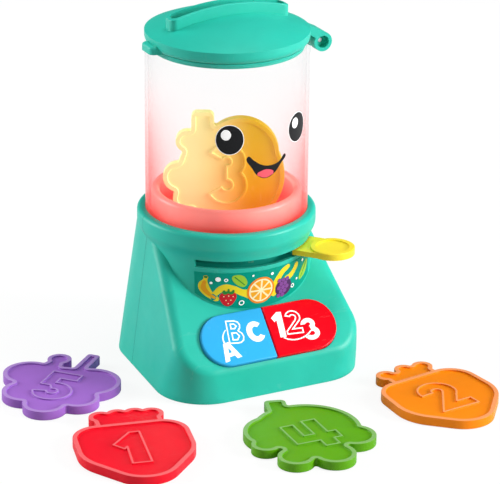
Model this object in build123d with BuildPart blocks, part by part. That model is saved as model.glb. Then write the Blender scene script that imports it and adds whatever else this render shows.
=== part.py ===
"""Toy blender: clear jar on a sloped base, with a lever, two buttons and drop-in play pieces.

Frame: origin on the table under the jar's axis, +X to the object's right seen from its front,
-Y to the front (the buttons), +Z up.  All sizes are millimetres.
"""

from build123d import *
import math
import os

os.makedirs("parts", exist_ok=True)

# ---------------------------------------------------------------- driving dimensions
# fits
FIT = 0.3  # between pieces that come apart or slide by hand
RUN = 0.05  # radial, between a shaft and its bore
SKIN = 0.35  # thickness of a sticker

# base housing
WALL = 2.5
SEAM_Y = 4.0  # joint plane of the front and rear shells
FRONT_Y = -83.5
REAR_Y = 62.0
HALF_FRONT = 78.8  # half width of the footprint at the front edge
HALF_REAR = 68.8
FOOT_FRONT_R = 36.0
FOOT_REAR_R = 41.0
WAIST_Z = 26.0  # height at which the front corners are tightest
WAIST_FRONT_R = 25.0
SHOULDER_Z = 104.0  # the block runs up inside the collar to here
SHOULDER_FRONT_Y = -80.0
SHOULDER_FRONT_R = 18.0
SHOULDER_REAR_R = 48.0

# button apron
APRON_SLOPE = 45.0  # degrees from the table
APRON_EDGE_Z = 23.0  # where the apron's plane meets y = FRONT_Y
APRON_EDGE_R = 8.0

# neck and collar
NECK_LOW_Z = 44.0
NECK_LOW_A = 71.0  # half width of the neck's oval foot
NECK_LOW_B = 52.8
NECK_Z = 86.0
NECK_TUCK = 0.25  # the neck stays this far inside the block's sides
COLLAR_LOW_Z = 103.5
COLLAR_TOP_Z = 112.5
COLLAR_ROUND = 3.2

# jar; what goes round it or into it follows from its radius
JAR_R = 57.6
JAR_WALL = 2.2
NECK_R = JAR_R + 1.7
COLLAR_R = JAR_R + 6.0
SHOULDER_HALF_FRONT = NECK_R + 1.2
SHOULDER_HALF_REAR = NECK_R - 0.8
SHOULDER_REAR_Y = NECK_R + 0.2
JAR_TOP_Z = 233.2
JAR_FOOT_Z = 96.0
JAR_FLANGE_T = 2.6
JAR_FLANGE_W = 2.4
JAR_BEAD_Z = 228.6
JAR_BEAD = 0.7

# lid
LID_R = JAR_R + 0.2
LID_EDGE = 9.33  # height of the dome at its edge
LID_SPHERE_R = 149.0
LID_RISE = LID_EDGE + LID_SPHERE_R - math.sqrt(LID_SPHERE_R**2 - LID_R**2)  # at the axis
LID_ROUND = 6.0
LID_WALL = 2.4
LID_PLUG = 3.0
LID_GAP = 0.3
SLOT_LONG = 87.0
SLOT_WIDE = 9.4
SLOT_WALL = 2.1
SLOT_RISE = 7.7
LIP_REACH = 4.6
LIP_WIDE = 18.0
LIP_T = 5.4

# lid hinge
HINGE_X = JAR_R + 12.4
HINGE_DROP = 6.7  # below the jar's mouth
HINGE_R = 7.0
HINGE_LONG = 21.0
HINGE_PIN_R = 1.75
HINGE_BORE_R = 4.5
HINGE_BORE_DEEP = 5.0
LUG_HEAD_R = 4.6
LUG_WIDE = 7.0
LUG_T = 5.0
LUG_DROP = 1.5  # the lug is this much deeper at the jar's wall

# lever and lit bowl
LEVER_ANGLE = -47.7
LEVER_SWEEP = 75.0
LEVER_R = JAR_R + 22.9  # jar axis to the centre of the finger pad
LEVER_Z = 87.3
ARM_T = 3.8
ARM_WIDE = 29.0
PAD_R = 15.8
PAD_T = 5.0
DISH_R = 11.8
DISH_DEEP = 0.9
RING_WIDE = 8.0
HUB_R = 12.0
SPOKE_WIDE = 8.0
SPINDLE_R = 6.0
BOWL_GAP = 1.9  # between the bowl and the jar's bore
BOWL_R = JAR_R - JAR_WALL - BOWL_GAP
RING_R = BOWL_R - 1.5
BOWL_RIM_Z = 127.0
BOWL_RIM_WIDE = 6.0
BOWL_WALL = 2.4
BOWL_FLOOR = 2.4

# lever slot in the neck
SLOT_GAP_Z = 0.9  # above and below the arm
SLOT_GAP_ANGLE = 1.0

# inner frame
FRAME_Z = 78.5
FRAME_T = 2.5
FRAME_GAP = 2.3  # between the frame and the neck's wall
FRAME_R = NECK_R - WALL - FRAME_GAP
LEDGE_R = FRAME_R - 4.0  # inner radius of the ledge the frame rests on
TRACK_WIDE = 3.0

# buttons
PILL_LONG = 104.5
PILL_HIGH = 38.5
PILL_V = 22.4  # pill centre, up the slope from the apron's lower edge
BUTTON_PROUD = 2.6
BUTTON_TRAVEL = 2.2
BUTTON_GAP = 0.4
BUTTON_FLANGE = 1.0
BUTTON_WALL = 2.0
BUTTON_EDGE_R = 1.2
STEM_R = 3.0
BOARD_DEEP = 15.0  # apron surface to the button frame
BOARD_T = 1.6
SWITCH_SIDE = 6.0
SWITCH_HIGH = 3.5
SPRING_R = 5.4
SPRING_WIRE_R = 0.45
SPRING_TURNS = 5
POST_R = 2.8
POST_UV = ((-61.0, 14.0), (61.0, 14.0), (-45.0, 51.0), (45.0, 51.0))

# base screws and shell screws
SCREW_R = 1.5
SCREW_HEAD_R = 3.0
SCREW_HEAD_T = 2.0
BOSS_R = 4.6
SHELL_SCREWS = ((-52.0, 24.0), (52.0, 24.0), (-44.0, 69.5), (44.0, 69.5))  # x, z
COVER_SCREWS = ((-60.0, -48.0), (60.0, -48.0), (-49.0, 38.0), (49.0, 38.0))  # x, y
COVER_BOSS_TOP = 15.0
COVER_HEAD_T = 1.2
SMALL_SCREW_R = 1.1
SMALL_HEAD_R = 2.0
SMALL_HEAD_T = 1.4
FRAME_SCREW_R = FRAME_R - 1.9  # jar axis to a frame screw
FRAME_SCREW_ANGLES = (45.0, 135.0, 225.0, 315.0)
SHELL_BOSS_LONG = 14.0
SHELL_SEAT = 6.0  # seam to the underside of a shell screw's head

# bottom cover and batteries
COVER_T = 2.5
CELL_R = 7.1
CELL_LONG = 49.5
CELL_PITCH = 15.2
CELL_COUNT = 3
CELL_NIB_R = 2.6
CELL_NIB = 1.0
CONTACT_T = 0.5
CONTACT_SPACE = 6.5  # left for the contact spring beside a cell
BOX_LONG = CELL_LONG + CELL_NIB + 2 * CONTACT_T + CONTACT_SPACE
BOX_Y = 31.0
BOX_WALL = 1.8
DOOR_T = 2.0
DOOR_LEDGE = 3.0
DOOR_RECESS = 0.3
DOOR_TAB_X = 0.5 * BOX_LONG + 8.0
DOOR_TAB_R = 6.0

# main board
MAIN_LONG = 70.0
MAIN_WIDE = 40.0
MAIN_LIFT = 4.5

# speaker
SPEAKER_R = 25.0
SPEAKER_Z = 49.5
SPEAKER_DEEP = 18.0
MAGNET_R = 11.0
MAGNET_T = 7.0
GRILLE_HOLE_R = 1.5
GRILLE_PITCH = 4.6
GRILLE_R = 19.5
SPEAKER_CUP_DEEP = 5.0
SPEAKER_CUP_T = 1.8

# slide switch
KNOB_TRAVEL = 4.0
KNOB_LONG = 6.0
KNOB_WIDE = 5.0
KNOB_Y = -38.0

# label
LABEL_HALF = 44.5
LABEL_TOP_Z = 83.2
LABEL_MARGIN = 1.6

# play pieces
PIECE_T = 6.5
PIECE_RIM = 3.2
PIECE_FIELD = 1.2
DIGIT_STROKE = 9.6  # between the ridge lines of a numeral
DIGIT_RIDGE = 0.75  # half width of a ridge

# ---------------------------------------------------------------- derived places
SLOPE = math.radians(APRON_SLOPE)
APRON = Plane(
    origin=(0, FRONT_Y, APRON_EDGE_Z),
    x_dir=(1, 0, 0),
    z_dir=(0, -math.sin(SLOPE), math.cos(SLOPE)),
)
HINGE_Z = JAR_TOP_Z - HINGE_DROP
LID_Z = JAR_TOP_Z + LID_GAP
TRACK_Z = LEVER_Z - FIT
SPINDLE_Z = LEVER_Z + ARM_T + 0.1
BOWL_Z = LEVER_Z + ARM_T
JAR_BORE_R = JAR_R - JAR_WALL
BOX_TOP_Z = COVER_T + 2 * CELL_R + 1.2
BOX_WIDE = CELL_COUNT * CELL_PITCH + 0.4
BOARD_Z = BOX_TOP_Z + BOX_WALL + MAIN_LIFT


def save(piece, label):
    """Label one finished piece and write its STEP file."""
    piece.label = label
    export_step(piece, f"parts/{label}.step")


def polar(radius, degrees, z=0.0):
    """Point at a radius and an angle about the jar's axis."""
    angle = math.radians(degrees)
    return (radius * math.cos(angle), radius * math.sin(angle), z)


# ---------------------------------------------------------------- base housing envelope
def block_outline(z, front, rear, half_front, half_rear, front_r, rear_r, inset):
    """Trapezoid with round corners at height z, one section of the block's loft."""
    with BuildSketch(Plane.XY.offset(z)) as outline:
        with BuildLine():
            Polyline(
                (-half_front + inset, front + inset),
                (half_front - inset, front + inset),
                (half_rear - inset, rear - inset),
                (-half_rear + inset, rear - inset),
                close=True,
            )
        make_face()
        fillet(outline.vertices().group_by(Axis.Y)[0], front_r - inset)
        fillet(outline.vertices().group_by(Axis.Y)[-1], rear_r - inset)
    return outline.sketch


def between(low, high, z):
    """Value at height z on the straight line from the footprint to the shoulder."""
    return low + (high - low) * z / SHOULDER_Z


def base_block(inset, top=SHOULDER_Z):
    """Solid block from the footprint to the shoulder, before the apron is cut."""
    with BuildPart() as block:
        levels = ((0.0, FOOT_FRONT_R), (WAIST_Z, WAIST_FRONT_R), (top, None))
        for z, corner in levels:
            if corner is None:
                share = (z - WAIST_Z) / (SHOULDER_Z - WAIST_Z)
                corner = WAIST_FRONT_R + (SHOULDER_FRONT_R - WAIST_FRONT_R) * share
            section = block_outline(
                z,
                between(FRONT_Y, SHOULDER_FRONT_Y, z),
                between(REAR_Y, SHOULDER_REAR_Y, z),
                between(HALF_FRONT, SHOULDER_HALF_FRONT, z),
                between(HALF_REAR, SHOULDER_HALF_REAR, z),
                corner,
                between(FOOT_REAR_R, SHOULDER_REAR_R, z),
                inset,
            )
            add(section)
        loft()
    return block.part


def apron_block(inset, edge_r, top=SHOULDER_Z):
    """Block with its front cut by the apron's plane and the cut's edge rounded."""
    face_plane = APRON.offset(-inset)
    with BuildPart() as block:
        add(base_block(inset, top))
        split(bisect_by=face_plane, keep=Keep.BOTTOM)
        if edge_r > 0:
            slope_face = block.faces().sort_by(lambda f: f.normal_at().dot(face_plane.z_dir))[-1]
            rim = slope_face.edges().filter_by(lambda e: e.center().Z < top - 1.0)
            fillet(rim, edge_r)
    return block.part


def neck(inset, top=NECK_Z):
    """Oval foot blending up to the round neck, kept inside the block's sides."""
    with BuildPart() as loft_part:
        with BuildSketch(Plane.XY.offset(NECK_LOW_Z)):
            Ellipse(NECK_LOW_A - inset, NECK_LOW_B - inset)
        with BuildSketch(Plane.XY.offset(top)):
            Circle(NECK_R - inset)
        loft()
        add(base_block(max(inset, 0.0) + NECK_TUCK), mode=Mode.INTERSECT)
    return loft_part.part


def collar():
    """Solid of revolution of the neck's top and the collar, bore not yet cut."""
    with BuildPart() as ring:
        with BuildSketch(Plane.XZ):
            with BuildLine():
                Polyline((0, COLLAR_TOP_Z), (0, NECK_Z), (NECK_R, NECK_Z), (NECK_R, NECK_Z + 2.0))
                Spline(
                    (NECK_R, NECK_Z + 2.0),
                    (NECK_R + 0.45 * (COLLAR_R - NECK_R), 0.5 * (NECK_Z + COLLAR_LOW_Z) + 2.0),
                    (COLLAR_R, COLLAR_LOW_Z),
                    tangents=((0, 1), (0, 1)),
                )
                Line((COLLAR_R, COLLAR_LOW_Z), (COLLAR_R, COLLAR_TOP_Z - COLLAR_ROUND))
                RadiusArc(
                    (COLLAR_R, COLLAR_TOP_Z - COLLAR_ROUND),
                    (COLLAR_R - COLLAR_ROUND, COLLAR_TOP_Z),
                    -COLLAR_ROUND,
                )
                Line((COLLAR_R - COLLAR_ROUND, COLLAR_TOP_Z), (0, COLLAR_TOP_Z))
            make_face()
        revolve(axis=Axis.Z)
    return ring.part


def envelope():
    """Outer form of the closed base, without bore or openings."""
    with BuildPart() as form:
        add(apron_block(0.0, APRON_EDGE_R))
        add(neck(0.0))
        add(collar())
    return form.part


def hollow():
    """Inner form of the base: what the shells enclose, with the jar's seat and groove."""
    neck_bore = NECK_R - WALL
    groove_r = JAR_R + JAR_FLANGE_W + FIT
    with BuildPart() as void:
        add(apron_block(WALL, 0.0, NECK_Z + 2.0))
        add(neck(WALL))
        for radius, low, high in (
            (neck_bore, NECK_Z, JAR_FOOT_Z - FIT),
            (groove_r, JAR_FOOT_Z - FIT, JAR_FOOT_Z + JAR_FLANGE_T + FIT),
            (JAR_R + FIT, JAR_FOOT_Z + JAR_FLANGE_T, COLLAR_TOP_Z + 1.0),
        ):
            with BuildSketch(Plane.XY.offset(low)):
                Circle(radius)
            extrude(amount=high - low)
    return void.part


def annular_sector(inner, outer, start, sweep, low, high):
    """Ring segment about the jar's axis, used for the lever's slot."""
    with BuildPart() as segment:
        with BuildSketch(Plane.XY.offset(low)):
            with BuildLine():
                CenterArc((0, 0), outer, start, sweep)
                CenterArc((0, 0), inner, start, sweep)
                Line(polar(inner, start)[:2], polar(outer, start)[:2])
                Line(polar(inner, start + sweep)[:2], polar(outer, start + sweep)[:2])
            make_face()
        extrude(amount=high - low)
    return segment.part


def lever_slot():
    """Curved slot through the neck that the lever's arm sweeps along."""
    half = math.degrees(math.asin(0.5 * ARM_WIDE / NECK_R)) + SLOT_GAP_ANGLE
    return annular_sector(
        RING_R - 6.0,
        NECK_R + 12.0,
        LEVER_ANGLE - LEVER_SWEEP - half,
        LEVER_SWEEP + 2 * half,
        LEVER_Z - SLOT_GAP_Z,
        LEVER_Z + ARM_T + SLOT_GAP_Z,
    )


def pill(grow):
    """Outline of the button pair in the apron's plane, grown by a margin."""
    with BuildSketch() as outline:
        with Locations((0, PILL_V)):
            SlotOverall(PILL_LONG + 2 * grow, PILL_HIGH + 2 * grow)
    return outline.sketch


def shell_with_openings():
    """Whole hollow base with the slot, the button window and the apron posts."""
    with BuildPart() as shell:
        add(envelope())
        add(hollow(), mode=Mode.SUBTRACT)
        add(lever_slot(), mode=Mode.SUBTRACT)
        with BuildSketch(APRON.offset(-WALL - 1.0)):
            add(pill(BUTTON_GAP))
        extrude(amount=WALL + 4.0, mode=Mode.SUBTRACT)
    return shell.part


def tied_bosses(places, radius, plane_of, long, rib, body_limit):
    """Screw bosses with a rib to the nearest side wall, trimmed to the mid-wall form."""
    with BuildPart() as bosses:
        for place in places:
            base = plane_of(*place)
            with BuildSketch(base):
                Circle(radius)
            extrude(amount=long)
            side = math.copysign(1.0, place[0])
            with BuildSketch(base):
                with Locations((side * rib / 2 * base.x_dir.X, 0)):
                    Rectangle(rib, WALL)
            extrude(amount=long)
        add(body_limit, mode=Mode.INTERSECT)
    return bosses.part


def mid_wall_form():
    """Envelope whose surface lies inside the wall, for trimming ribs and bosses."""
    with BuildPart() as form:
        add(apron_block(0.5 * WALL, 0.0, NECK_Z))
    return form.part


MID_FORM = mid_wall_form()
SHELL = shell_with_openings()


def frame_ledge():
    """Ring inside the neck that the inner frame rests on."""
    with BuildPart() as ledge:
        with BuildSketch(Plane.XY.offset(FRAME_Z - WALL)):
            Circle(NECK_R + 2.0)
            Circle(LEDGE_R, mode=Mode.SUBTRACT)
        extrude(amount=WALL)
        add(neck(0.5 * WALL), mode=Mode.INTERSECT)
        with BuildSketch(Plane.XY.offset(FRAME_Z - WALL)):
            with Locations(*[polar(FRAME_SCREW_R, angle)[:2] for angle in FRAME_SCREW_ANGLES]):
                Circle(SMALL_SCREW_R)
        extrude(amount=WALL, mode=Mode.SUBTRACT)
    return ledge.part


LEDGE = frame_ledge()


def cut_holes(places, plane_of, radius, long):
    """Cylinders for pilot and clearance holes."""
    with BuildPart() as holes:
        for place in places:
            with BuildSketch(plane_of(*place)):
                Circle(radius)
            extrude(amount=long)
    return holes.part


def shell_boss_plane(x, z):
    """Plane at the seam, pointing to the front."""
    return Plane(origin=(x, SEAM_Y, z), x_dir=(1, 0, 0), z_dir=(0, -1, 0))


def rear_boss_plane(x, z):
    """Plane at the seam, pointing to the rear."""
    return Plane(origin=(x, SEAM_Y, z), x_dir=(-1, 0, 0), z_dir=(0, 1, 0))


def cover_boss_plane(x, y):
    """Plane on top of the bottom cover, pointing up."""
    return Plane(origin=(x, y, COVER_T), x_dir=(1, 0, 0), z_dir=(0, 0, 1))


def screw_well_plane(x, z):
    """Plane where the shell screws' heads sit, pointing to the rear."""
    return Plane(origin=(x, SEAM_Y + SHELL_SEAT, z), x_dir=(-1, 0, 0), z_dir=(0, 1, 0))


def rear_wall_y(z):
    """Inner face of the rear wall on the centre plane at height z."""
    return between(REAR_Y, SHOULDER_REAR_Y, z) - WALL


def speaker_cup():
    """Short round wall on the rear shell that holds the speaker's rim."""
    front = rear_wall_y(SPEAKER_Z) - SPEAKER_CUP_DEEP
    with BuildPart() as cup:
        with BuildSketch(Plane(origin=(0, front, SPEAKER_Z), x_dir=(-1, 0, 0), z_dir=(0, 1, 0))):
            Circle(SPEAKER_R + FIT + SPEAKER_CUP_T)
            Circle(SPEAKER_R + FIT, mode=Mode.SUBTRACT)
        extrude(amount=SPEAKER_CUP_DEEP + WALL)
        add(MID_FORM, mode=Mode.INTERSECT)
    return cup.part


def grille_holes():
    """Sound holes in the rear wall, on a hexagonal grid inside a circle."""
    start = rear_wall_y(SPEAKER_Z) - 0.5 * WALL
    plane = Plane(origin=(0, start, SPEAKER_Z), x_dir=(-1, 0, 0), z_dir=(0, 1, 0))
    across = int(GRILLE_R / GRILLE_PITCH) + 1
    with BuildPart() as holes:
        with BuildSketch(plane):
            for row in range(-across, across + 1):
                for column in range(-across, across + 1):
                    x = GRILLE_PITCH * (column + 0.5 * (row % 2))
                    y = GRILLE_PITCH * row * math.sin(math.radians(60))
                    if math.hypot(x, y) <= GRILLE_R:
                        with Locations((x, y)):
                            Circle(GRILLE_HOLE_R)
        extrude(amount=3 * WALL)
    return holes.part


FRONT_COVER_SCREWS = [p for p in COVER_SCREWS if p[1] < SEAM_Y]
REAR_COVER_SCREWS = [p for p in COVER_SCREWS if p[1] > SEAM_Y]
COVER_BOSS_LONG = COVER_BOSS_TOP - COVER_T

with BuildPart() as front_housing:
    add(SHELL)
    split(bisect_by=Plane.XZ.offset(-SEAM_Y), keep=Keep.TOP)
    add(
        tied_bosses(SHELL_SCREWS, BOSS_R, shell_boss_plane, SHELL_BOSS_LONG, 40.0, MID_FORM)
    )
    add(
        tied_bosses(FRONT_COVER_SCREWS, BOSS_R, cover_boss_plane, COVER_BOSS_LONG, 40.0, MID_FORM)
    )
    add(LEDGE)
    split(bisect_by=Plane.XZ.offset(-SEAM_Y), keep=Keep.TOP)
    for u, v in POST_UV:
        with BuildSketch(APRON.offset(-BOARD_DEEP)):
            with Locations((u, v)):
                Circle(POST_R)
        extrude(amount=BOARD_DEEP - 0.5 * WALL)
    add(cut_holes(SHELL_SCREWS, shell_boss_plane, SCREW_R, 10.0), mode=Mode.SUBTRACT)
    add(
        cut_holes(FRONT_COVER_SCREWS, cover_boss_plane, SCREW_R, 10.0), mode=Mode.SUBTRACT
    )
    for u, v in POST_UV:
        with BuildSketch(APRON.offset(-BOARD_DEEP)):
            with Locations((u, v)):
                Circle(SMALL_SCREW_R)
        extrude(amount=8.0, mode=Mode.SUBTRACT)
save(front_housing.part, "front_housing")

with BuildPart() as rear_housing:
    add(SHELL)
    split(bisect_by=Plane.XZ.offset(-SEAM_Y), keep=Keep.BOTTOM)
    add(tied_bosses(SHELL_SCREWS, BOSS_R, rear_boss_plane, REAR_Y - SEAM_Y, 40.0, MID_FORM))
    add(
        tied_bosses(REAR_COVER_SCREWS, BOSS_R, cover_boss_plane, COVER_BOSS_LONG, 40.0, MID_FORM)
    )
    add(LEDGE)
    add(speaker_cup())
    split(bisect_by=Plane.XZ.offset(-SEAM_Y), keep=Keep.BOTTOM)
    add(
        cut_holes(SHELL_SCREWS, rear_boss_plane, SCREW_R + FIT, REAR_Y), mode=Mode.SUBTRACT
    )
    add(
        cut_holes(SHELL_SCREWS, screw_well_plane, SCREW_HEAD_R + FIT, REAR_Y), mode=Mode.SUBTRACT
    )
    add(cut_holes(REAR_COVER_SCREWS, cover_boss_plane, SCREW_R, 10.0), mode=Mode.SUBTRACT)
    add(grille_holes(), mode=Mode.SUBTRACT)
save(rear_housing.part, "rear_housing")


# ---------------------------------------------------------------- bottom cover and batteries
def screw(plane, long, head_r=SCREW_HEAD_R, shank_r=SCREW_R, head_t=SCREW_HEAD_T):
    """Pan-head screw: the head's underside on the plane, the shank along -Z of the plane."""
    recess = 0.45 * head_t
    with BuildPart() as body:
        with BuildSketch(plane):
            Circle(head_r)
        extrude(amount=head_t)
        top = body.faces().sort_by(lambda f: (f.center() - plane.origin).dot(plane.z_dir))[-1]
        fillet(top.edges(), 0.3 * head_t)
        with BuildSketch(plane):
            Circle(shank_r)
        extrude(amount=-long)
        with BuildSketch(plane.offset(head_t - recess)):
            Rectangle(head_r, 0.24 * head_r)
            Rectangle(0.24 * head_r, head_r)
        extrude(amount=recess, mode=Mode.SUBTRACT)
    return body.part


def screw_group(planes, long, head_r=SCREW_HEAD_R, shank_r=SCREW_R, head_t=SCREW_HEAD_T):
    """Identical screws as separate solids of one piece."""
    return Compound(children=[screw(plane, long, head_r, shank_r, head_t) for plane in planes])


def door_outline(grow):
    """Battery door with its screw tab, seen from below."""
    with BuildSketch() as outline:
        with Locations((0, BOX_Y)):
            RectangleRounded(
                BOX_LONG + 2 * (DOOR_LEDGE + grow), BOX_WIDE + 2 * (DOOR_LEDGE + grow), 3.0 + grow
            )
        with Locations((DOOR_TAB_X, BOX_Y)):
            Circle(DOOR_TAB_R + grow)
    return outline.sketch


COVER_SCREW_SEAT = 1.0  # cover left under a base screw's head
KNOB_SLOT_LONG = KNOB_LONG + 2 * KNOB_TRAVEL + 2 * FIT
DOOR_Z = DOOR_RECESS + DOOR_T

with BuildPart() as bottom_cover:
    add(base_block(WALL + FIT))
    split(bisect_by=Plane.XY.offset(COVER_T), keep=Keep.BOTTOM)
    with BuildSketch(Plane.XY.offset(COVER_T)):
        with Locations((0, BOX_Y)):
            Rectangle(BOX_LONG + 2 * BOX_WALL, BOX_WIDE + 2 * BOX_WALL)
    extrude(amount=BOX_TOP_Z + BOX_WALL - COVER_T)
    with BuildSketch():
        with Locations((0, BOX_Y)):
            Rectangle(BOX_LONG, BOX_WIDE)
    extrude(amount=BOX_TOP_Z, mode=Mode.SUBTRACT)
    with BuildSketch():
        add(door_outline(FIT))
    extrude(amount=DOOR_Z, mode=Mode.SUBTRACT)
    with BuildSketch(Plane.XY.offset(DOOR_Z)):
        with Locations((DOOR_TAB_X, BOX_Y)):
            Circle(DOOR_TAB_R - 1.0)
    extrude(amount=10.0)
    with BuildSketch(Plane.XY.offset(DOOR_Z)):
        with Locations((DOOR_TAB_X, BOX_Y)):
            Circle(SCREW_R)
    extrude(amount=8.0, mode=Mode.SUBTRACT)
    with BuildSketch():
        with Locations(*COVER_SCREWS):
            Circle(SCREW_R + FIT)
    extrude(amount=COVER_T, mode=Mode.SUBTRACT)
    with BuildSketch():
        with Locations(*COVER_SCREWS):
            Circle(SCREW_HEAD_R + FIT)
    extrude(amount=COVER_T - COVER_SCREW_SEAT, mode=Mode.SUBTRACT)
    with BuildSketch():
        with Locations((0, KNOB_Y)):
            Rectangle(KNOB_SLOT_LONG, KNOB_WIDE + 2 * FIT)
    extrude(amount=COVER_T, mode=Mode.SUBTRACT)
    # posts of the main board stand on the battery box
    with BuildSketch(Plane.XY.offset(BOX_TOP_Z + BOX_WALL)):
        with Locations((0, BOX_Y)):
            with GridLocations(MAIN_LONG - 16.0, MAIN_WIDE - 8.0, 2, 2):
                Circle(POST_R)
    extrude(amount=MAIN_LIFT)
    with BuildSketch(Plane.XY.offset(BOX_TOP_Z + BOX_WALL)):
        with Locations((0, BOX_Y)):
            with GridLocations(MAIN_LONG - 16.0, MAIN_WIDE - 8.0, 2, 2):
                Circle(SMALL_SCREW_R)
    extrude(amount=MAIN_LIFT, mode=Mode.SUBTRACT)
save(bottom_cover.part, "bottom_cover")

with BuildPart() as battery_door:
    with BuildSketch(Plane.XY.offset(DOOR_RECESS)):
        add(door_outline(0.0))
        with Locations((DOOR_TAB_X, BOX_Y)):
            Circle(SCREW_R + FIT, mode=Mode.SUBTRACT)
    extrude(amount=DOOR_T - 0.1)
    # ribbed finger grip
    with BuildSketch(Plane.XY.offset(DOOR_RECESS)):
        with Locations((-BOX_LONG / 2 + 6.0, BOX_Y)):
            with GridLocations(2.4, 1.0, 4, 1):
                Rectangle(1.2, 20.0)
    extrude(amount=0.6, mode=Mode.SUBTRACT)
    with BuildSketch(Plane.XY.offset(DOOR_RECESS)):
        with Locations((DOOR_TAB_X, BOX_Y)):
            Circle(SCREW_HEAD_R + FIT)
    extrude(amount=0.9, mode=Mode.SUBTRACT)
save(battery_door.part, "battery_door")

DOWN = Plane(origin=(DOOR_TAB_X, BOX_Y, DOOR_RECESS + 0.9), x_dir=(1, 0, 0), z_dir=(0, 0, -1))
with BuildPart() as door_screw:
    with BuildSketch(DOWN):
        Circle(SCREW_HEAD_R)
    extrude(amount=0.8)
    with BuildSketch(DOWN):
        Circle(SCREW_R)
    extrude(amount=-8.0)
    with BuildSketch(DOWN.offset(0.3)):
        Rectangle(3.4, 0.7)
        Rectangle(0.7, 3.4)
    extrude(amount=0.5, mode=Mode.SUBTRACT)
save(door_screw.part, "door_screw")

CELL_Z = DOOR_Z + CELL_R + 0.2
CELL_Y = [BOX_Y + CELL_PITCH * (i - 0.5 * (CELL_COUNT - 1)) for i in range(CELL_COUNT)]
CELL_START = BOX_LONG / 2 - CONTACT_T - CELL_NIB - CELL_LONG  # flat end of a cell from the centre

for index, cell_y in enumerate(CELL_Y):
    facing = 1.0 if index % 2 == 0 else -1.0
    flat_end = Plane(
        origin=(facing * CELL_START, cell_y, CELL_Z), x_dir=(0, 1, 0), z_dir=(facing, 0, 0)
    )
    with BuildPart() as cell:
        with BuildSketch(flat_end):
            Circle(CELL_R)
        extrude(amount=CELL_LONG)
        chamfer(cell.edges(), 0.5)
        with BuildSketch(flat_end.offset(CELL_LONG)):
            Circle(CELL_NIB_R)
        extrude(amount=CELL_NIB)
    save(cell.part, f"battery_{index + 1}")

with BuildPart() as contact_plates:
    for side in (-1.0, 1.0):
        for cell_y in CELL_Y:
            with BuildSketch(
                Plane(
                    origin=(side * BOX_LONG / 2, cell_y, CELL_Z + 0.3),
                    x_dir=(0, 1, 0),
                    z_dir=(-side, 0, 0),
                )
            ):
                Rectangle(CELL_PITCH - 3.2, 2 * CELL_R - 1.0)
            extrude(amount=CONTACT_T)
save(contact_plates.part, "contact_plates")


def coil(plane, radius, wire_r, long, turns):
    """Helical spring standing on a plane."""
    pitch = (long - 2 * wire_r) / turns
    path = plane.offset(wire_r).location * Helix(pitch, long - 2 * wire_r, radius)
    tip = Plane(origin=path @ 0, z_dir=path % 0)
    with BuildPart() as spring:
        with BuildSketch(tip):
            Circle(wire_r)
        sweep(path=path, is_frenet=True)
    return spring.part


CONTACT_GAP = CELL_START + BOX_LONG / 2 - CONTACT_T
with BuildPart() as contact_springs:
    for index, cell_y in enumerate(CELL_Y):
        facing = 1.0 if index % 2 == 0 else -1.0
        base = Plane(
            origin=(-facing * (BOX_LONG / 2 - CONTACT_T), cell_y, CELL_Z),
            x_dir=(0, 1, 0),
            z_dir=(facing, 0, 0),
        )
        add(coil(base, 4.0, 0.4, CONTACT_GAP - 0.2, 3))
save(contact_springs.part, "contact_springs")

UP = (0, 0, 1)
save(
    screw_group(
        [
            Plane(origin=(x, y, COVER_T - COVER_SCREW_SEAT), x_dir=(1, 0, 0), z_dir=(0, 0, -1))
            for x, y in COVER_SCREWS
        ],
        10.0,
        head_t=COVER_HEAD_T,
    ),
    "base_screws",
)
save(
    screw_group([screw_well_plane(x, z) for x, z in SHELL_SCREWS], SHELL_SEAT + 9.0),
    "shell_screws",
)

# ---------------------------------------------------------------- inner frame
TRACK_R = RING_R - RING_WIDE + 0.5 * TRACK_WIDE + 0.5
FRAME_TOP_Z = FRAME_Z + FRAME_T
LAMP_BOARD_IN = 15.0
LAMP_BOARD_OUT = 42.0
LAMP_BOARD_LIFT = 1.0
LAMP_BOARD_Z = FRAME_TOP_Z + LAMP_BOARD_LIFT
LAMP_RING_R = 28.0
LAMP_R = 2.4
LAMP_COUNT = 6
STAKE_R = 1.2
STAKE_RING_R = 37.0
LEAD_HOLE_R = 4.0
LEAD_HOLE_AT = polar(LAMP_RING_R - 6.0, 90.0)[:2]
FRAME_SCREW_AT = [polar(FRAME_SCREW_R, angle)[:2] for angle in FRAME_SCREW_ANGLES]

with BuildPart() as inner_frame:
    with BuildSketch(Plane.XY.offset(FRAME_Z)):
        Circle(FRAME_R)
        with Locations(LEAD_HOLE_AT):
            Circle(LEAD_HOLE_R, mode=Mode.SUBTRACT)
        with Locations(*FRAME_SCREW_AT):
            Circle(SMALL_SCREW_R + 0.1, mode=Mode.SUBTRACT)
    extrude(amount=FRAME_T)
    with BuildSketch(Plane.XY.offset(FRAME_TOP_Z)):
        Circle(SPINDLE_R)
    extrude(amount=SPINDLE_Z - FRAME_TOP_Z)
    with BuildSketch(Plane.XY.offset(FRAME_TOP_Z)):
        Circle(TRACK_R + 0.5 * TRACK_WIDE)
        Circle(TRACK_R - 0.5 * TRACK_WIDE, mode=Mode.SUBTRACT)
    extrude(amount=TRACK_Z - FRAME_TOP_Z)
    with BuildSketch(Plane.XY.offset(FRAME_TOP_Z)):
        with PolarLocations(STAKE_RING_R, 3, 30):
            Circle(2.0 * STAKE_R)
    extrude(amount=LAMP_BOARD_LIFT)
    with BuildSketch(Plane.XY.offset(LAMP_BOARD_Z)):
        with PolarLocations(STAKE_RING_R, 3, 30):
            Circle(STAKE_R)
    extrude(amount=BOARD_T + 0.8)
    with BuildSketch(Plane.XY.offset(SPINDLE_Z - 9.0)):
        Circle(SCREW_R)
    extrude(amount=9.0, mode=Mode.SUBTRACT)
save(inner_frame.part, "inner_frame")
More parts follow.
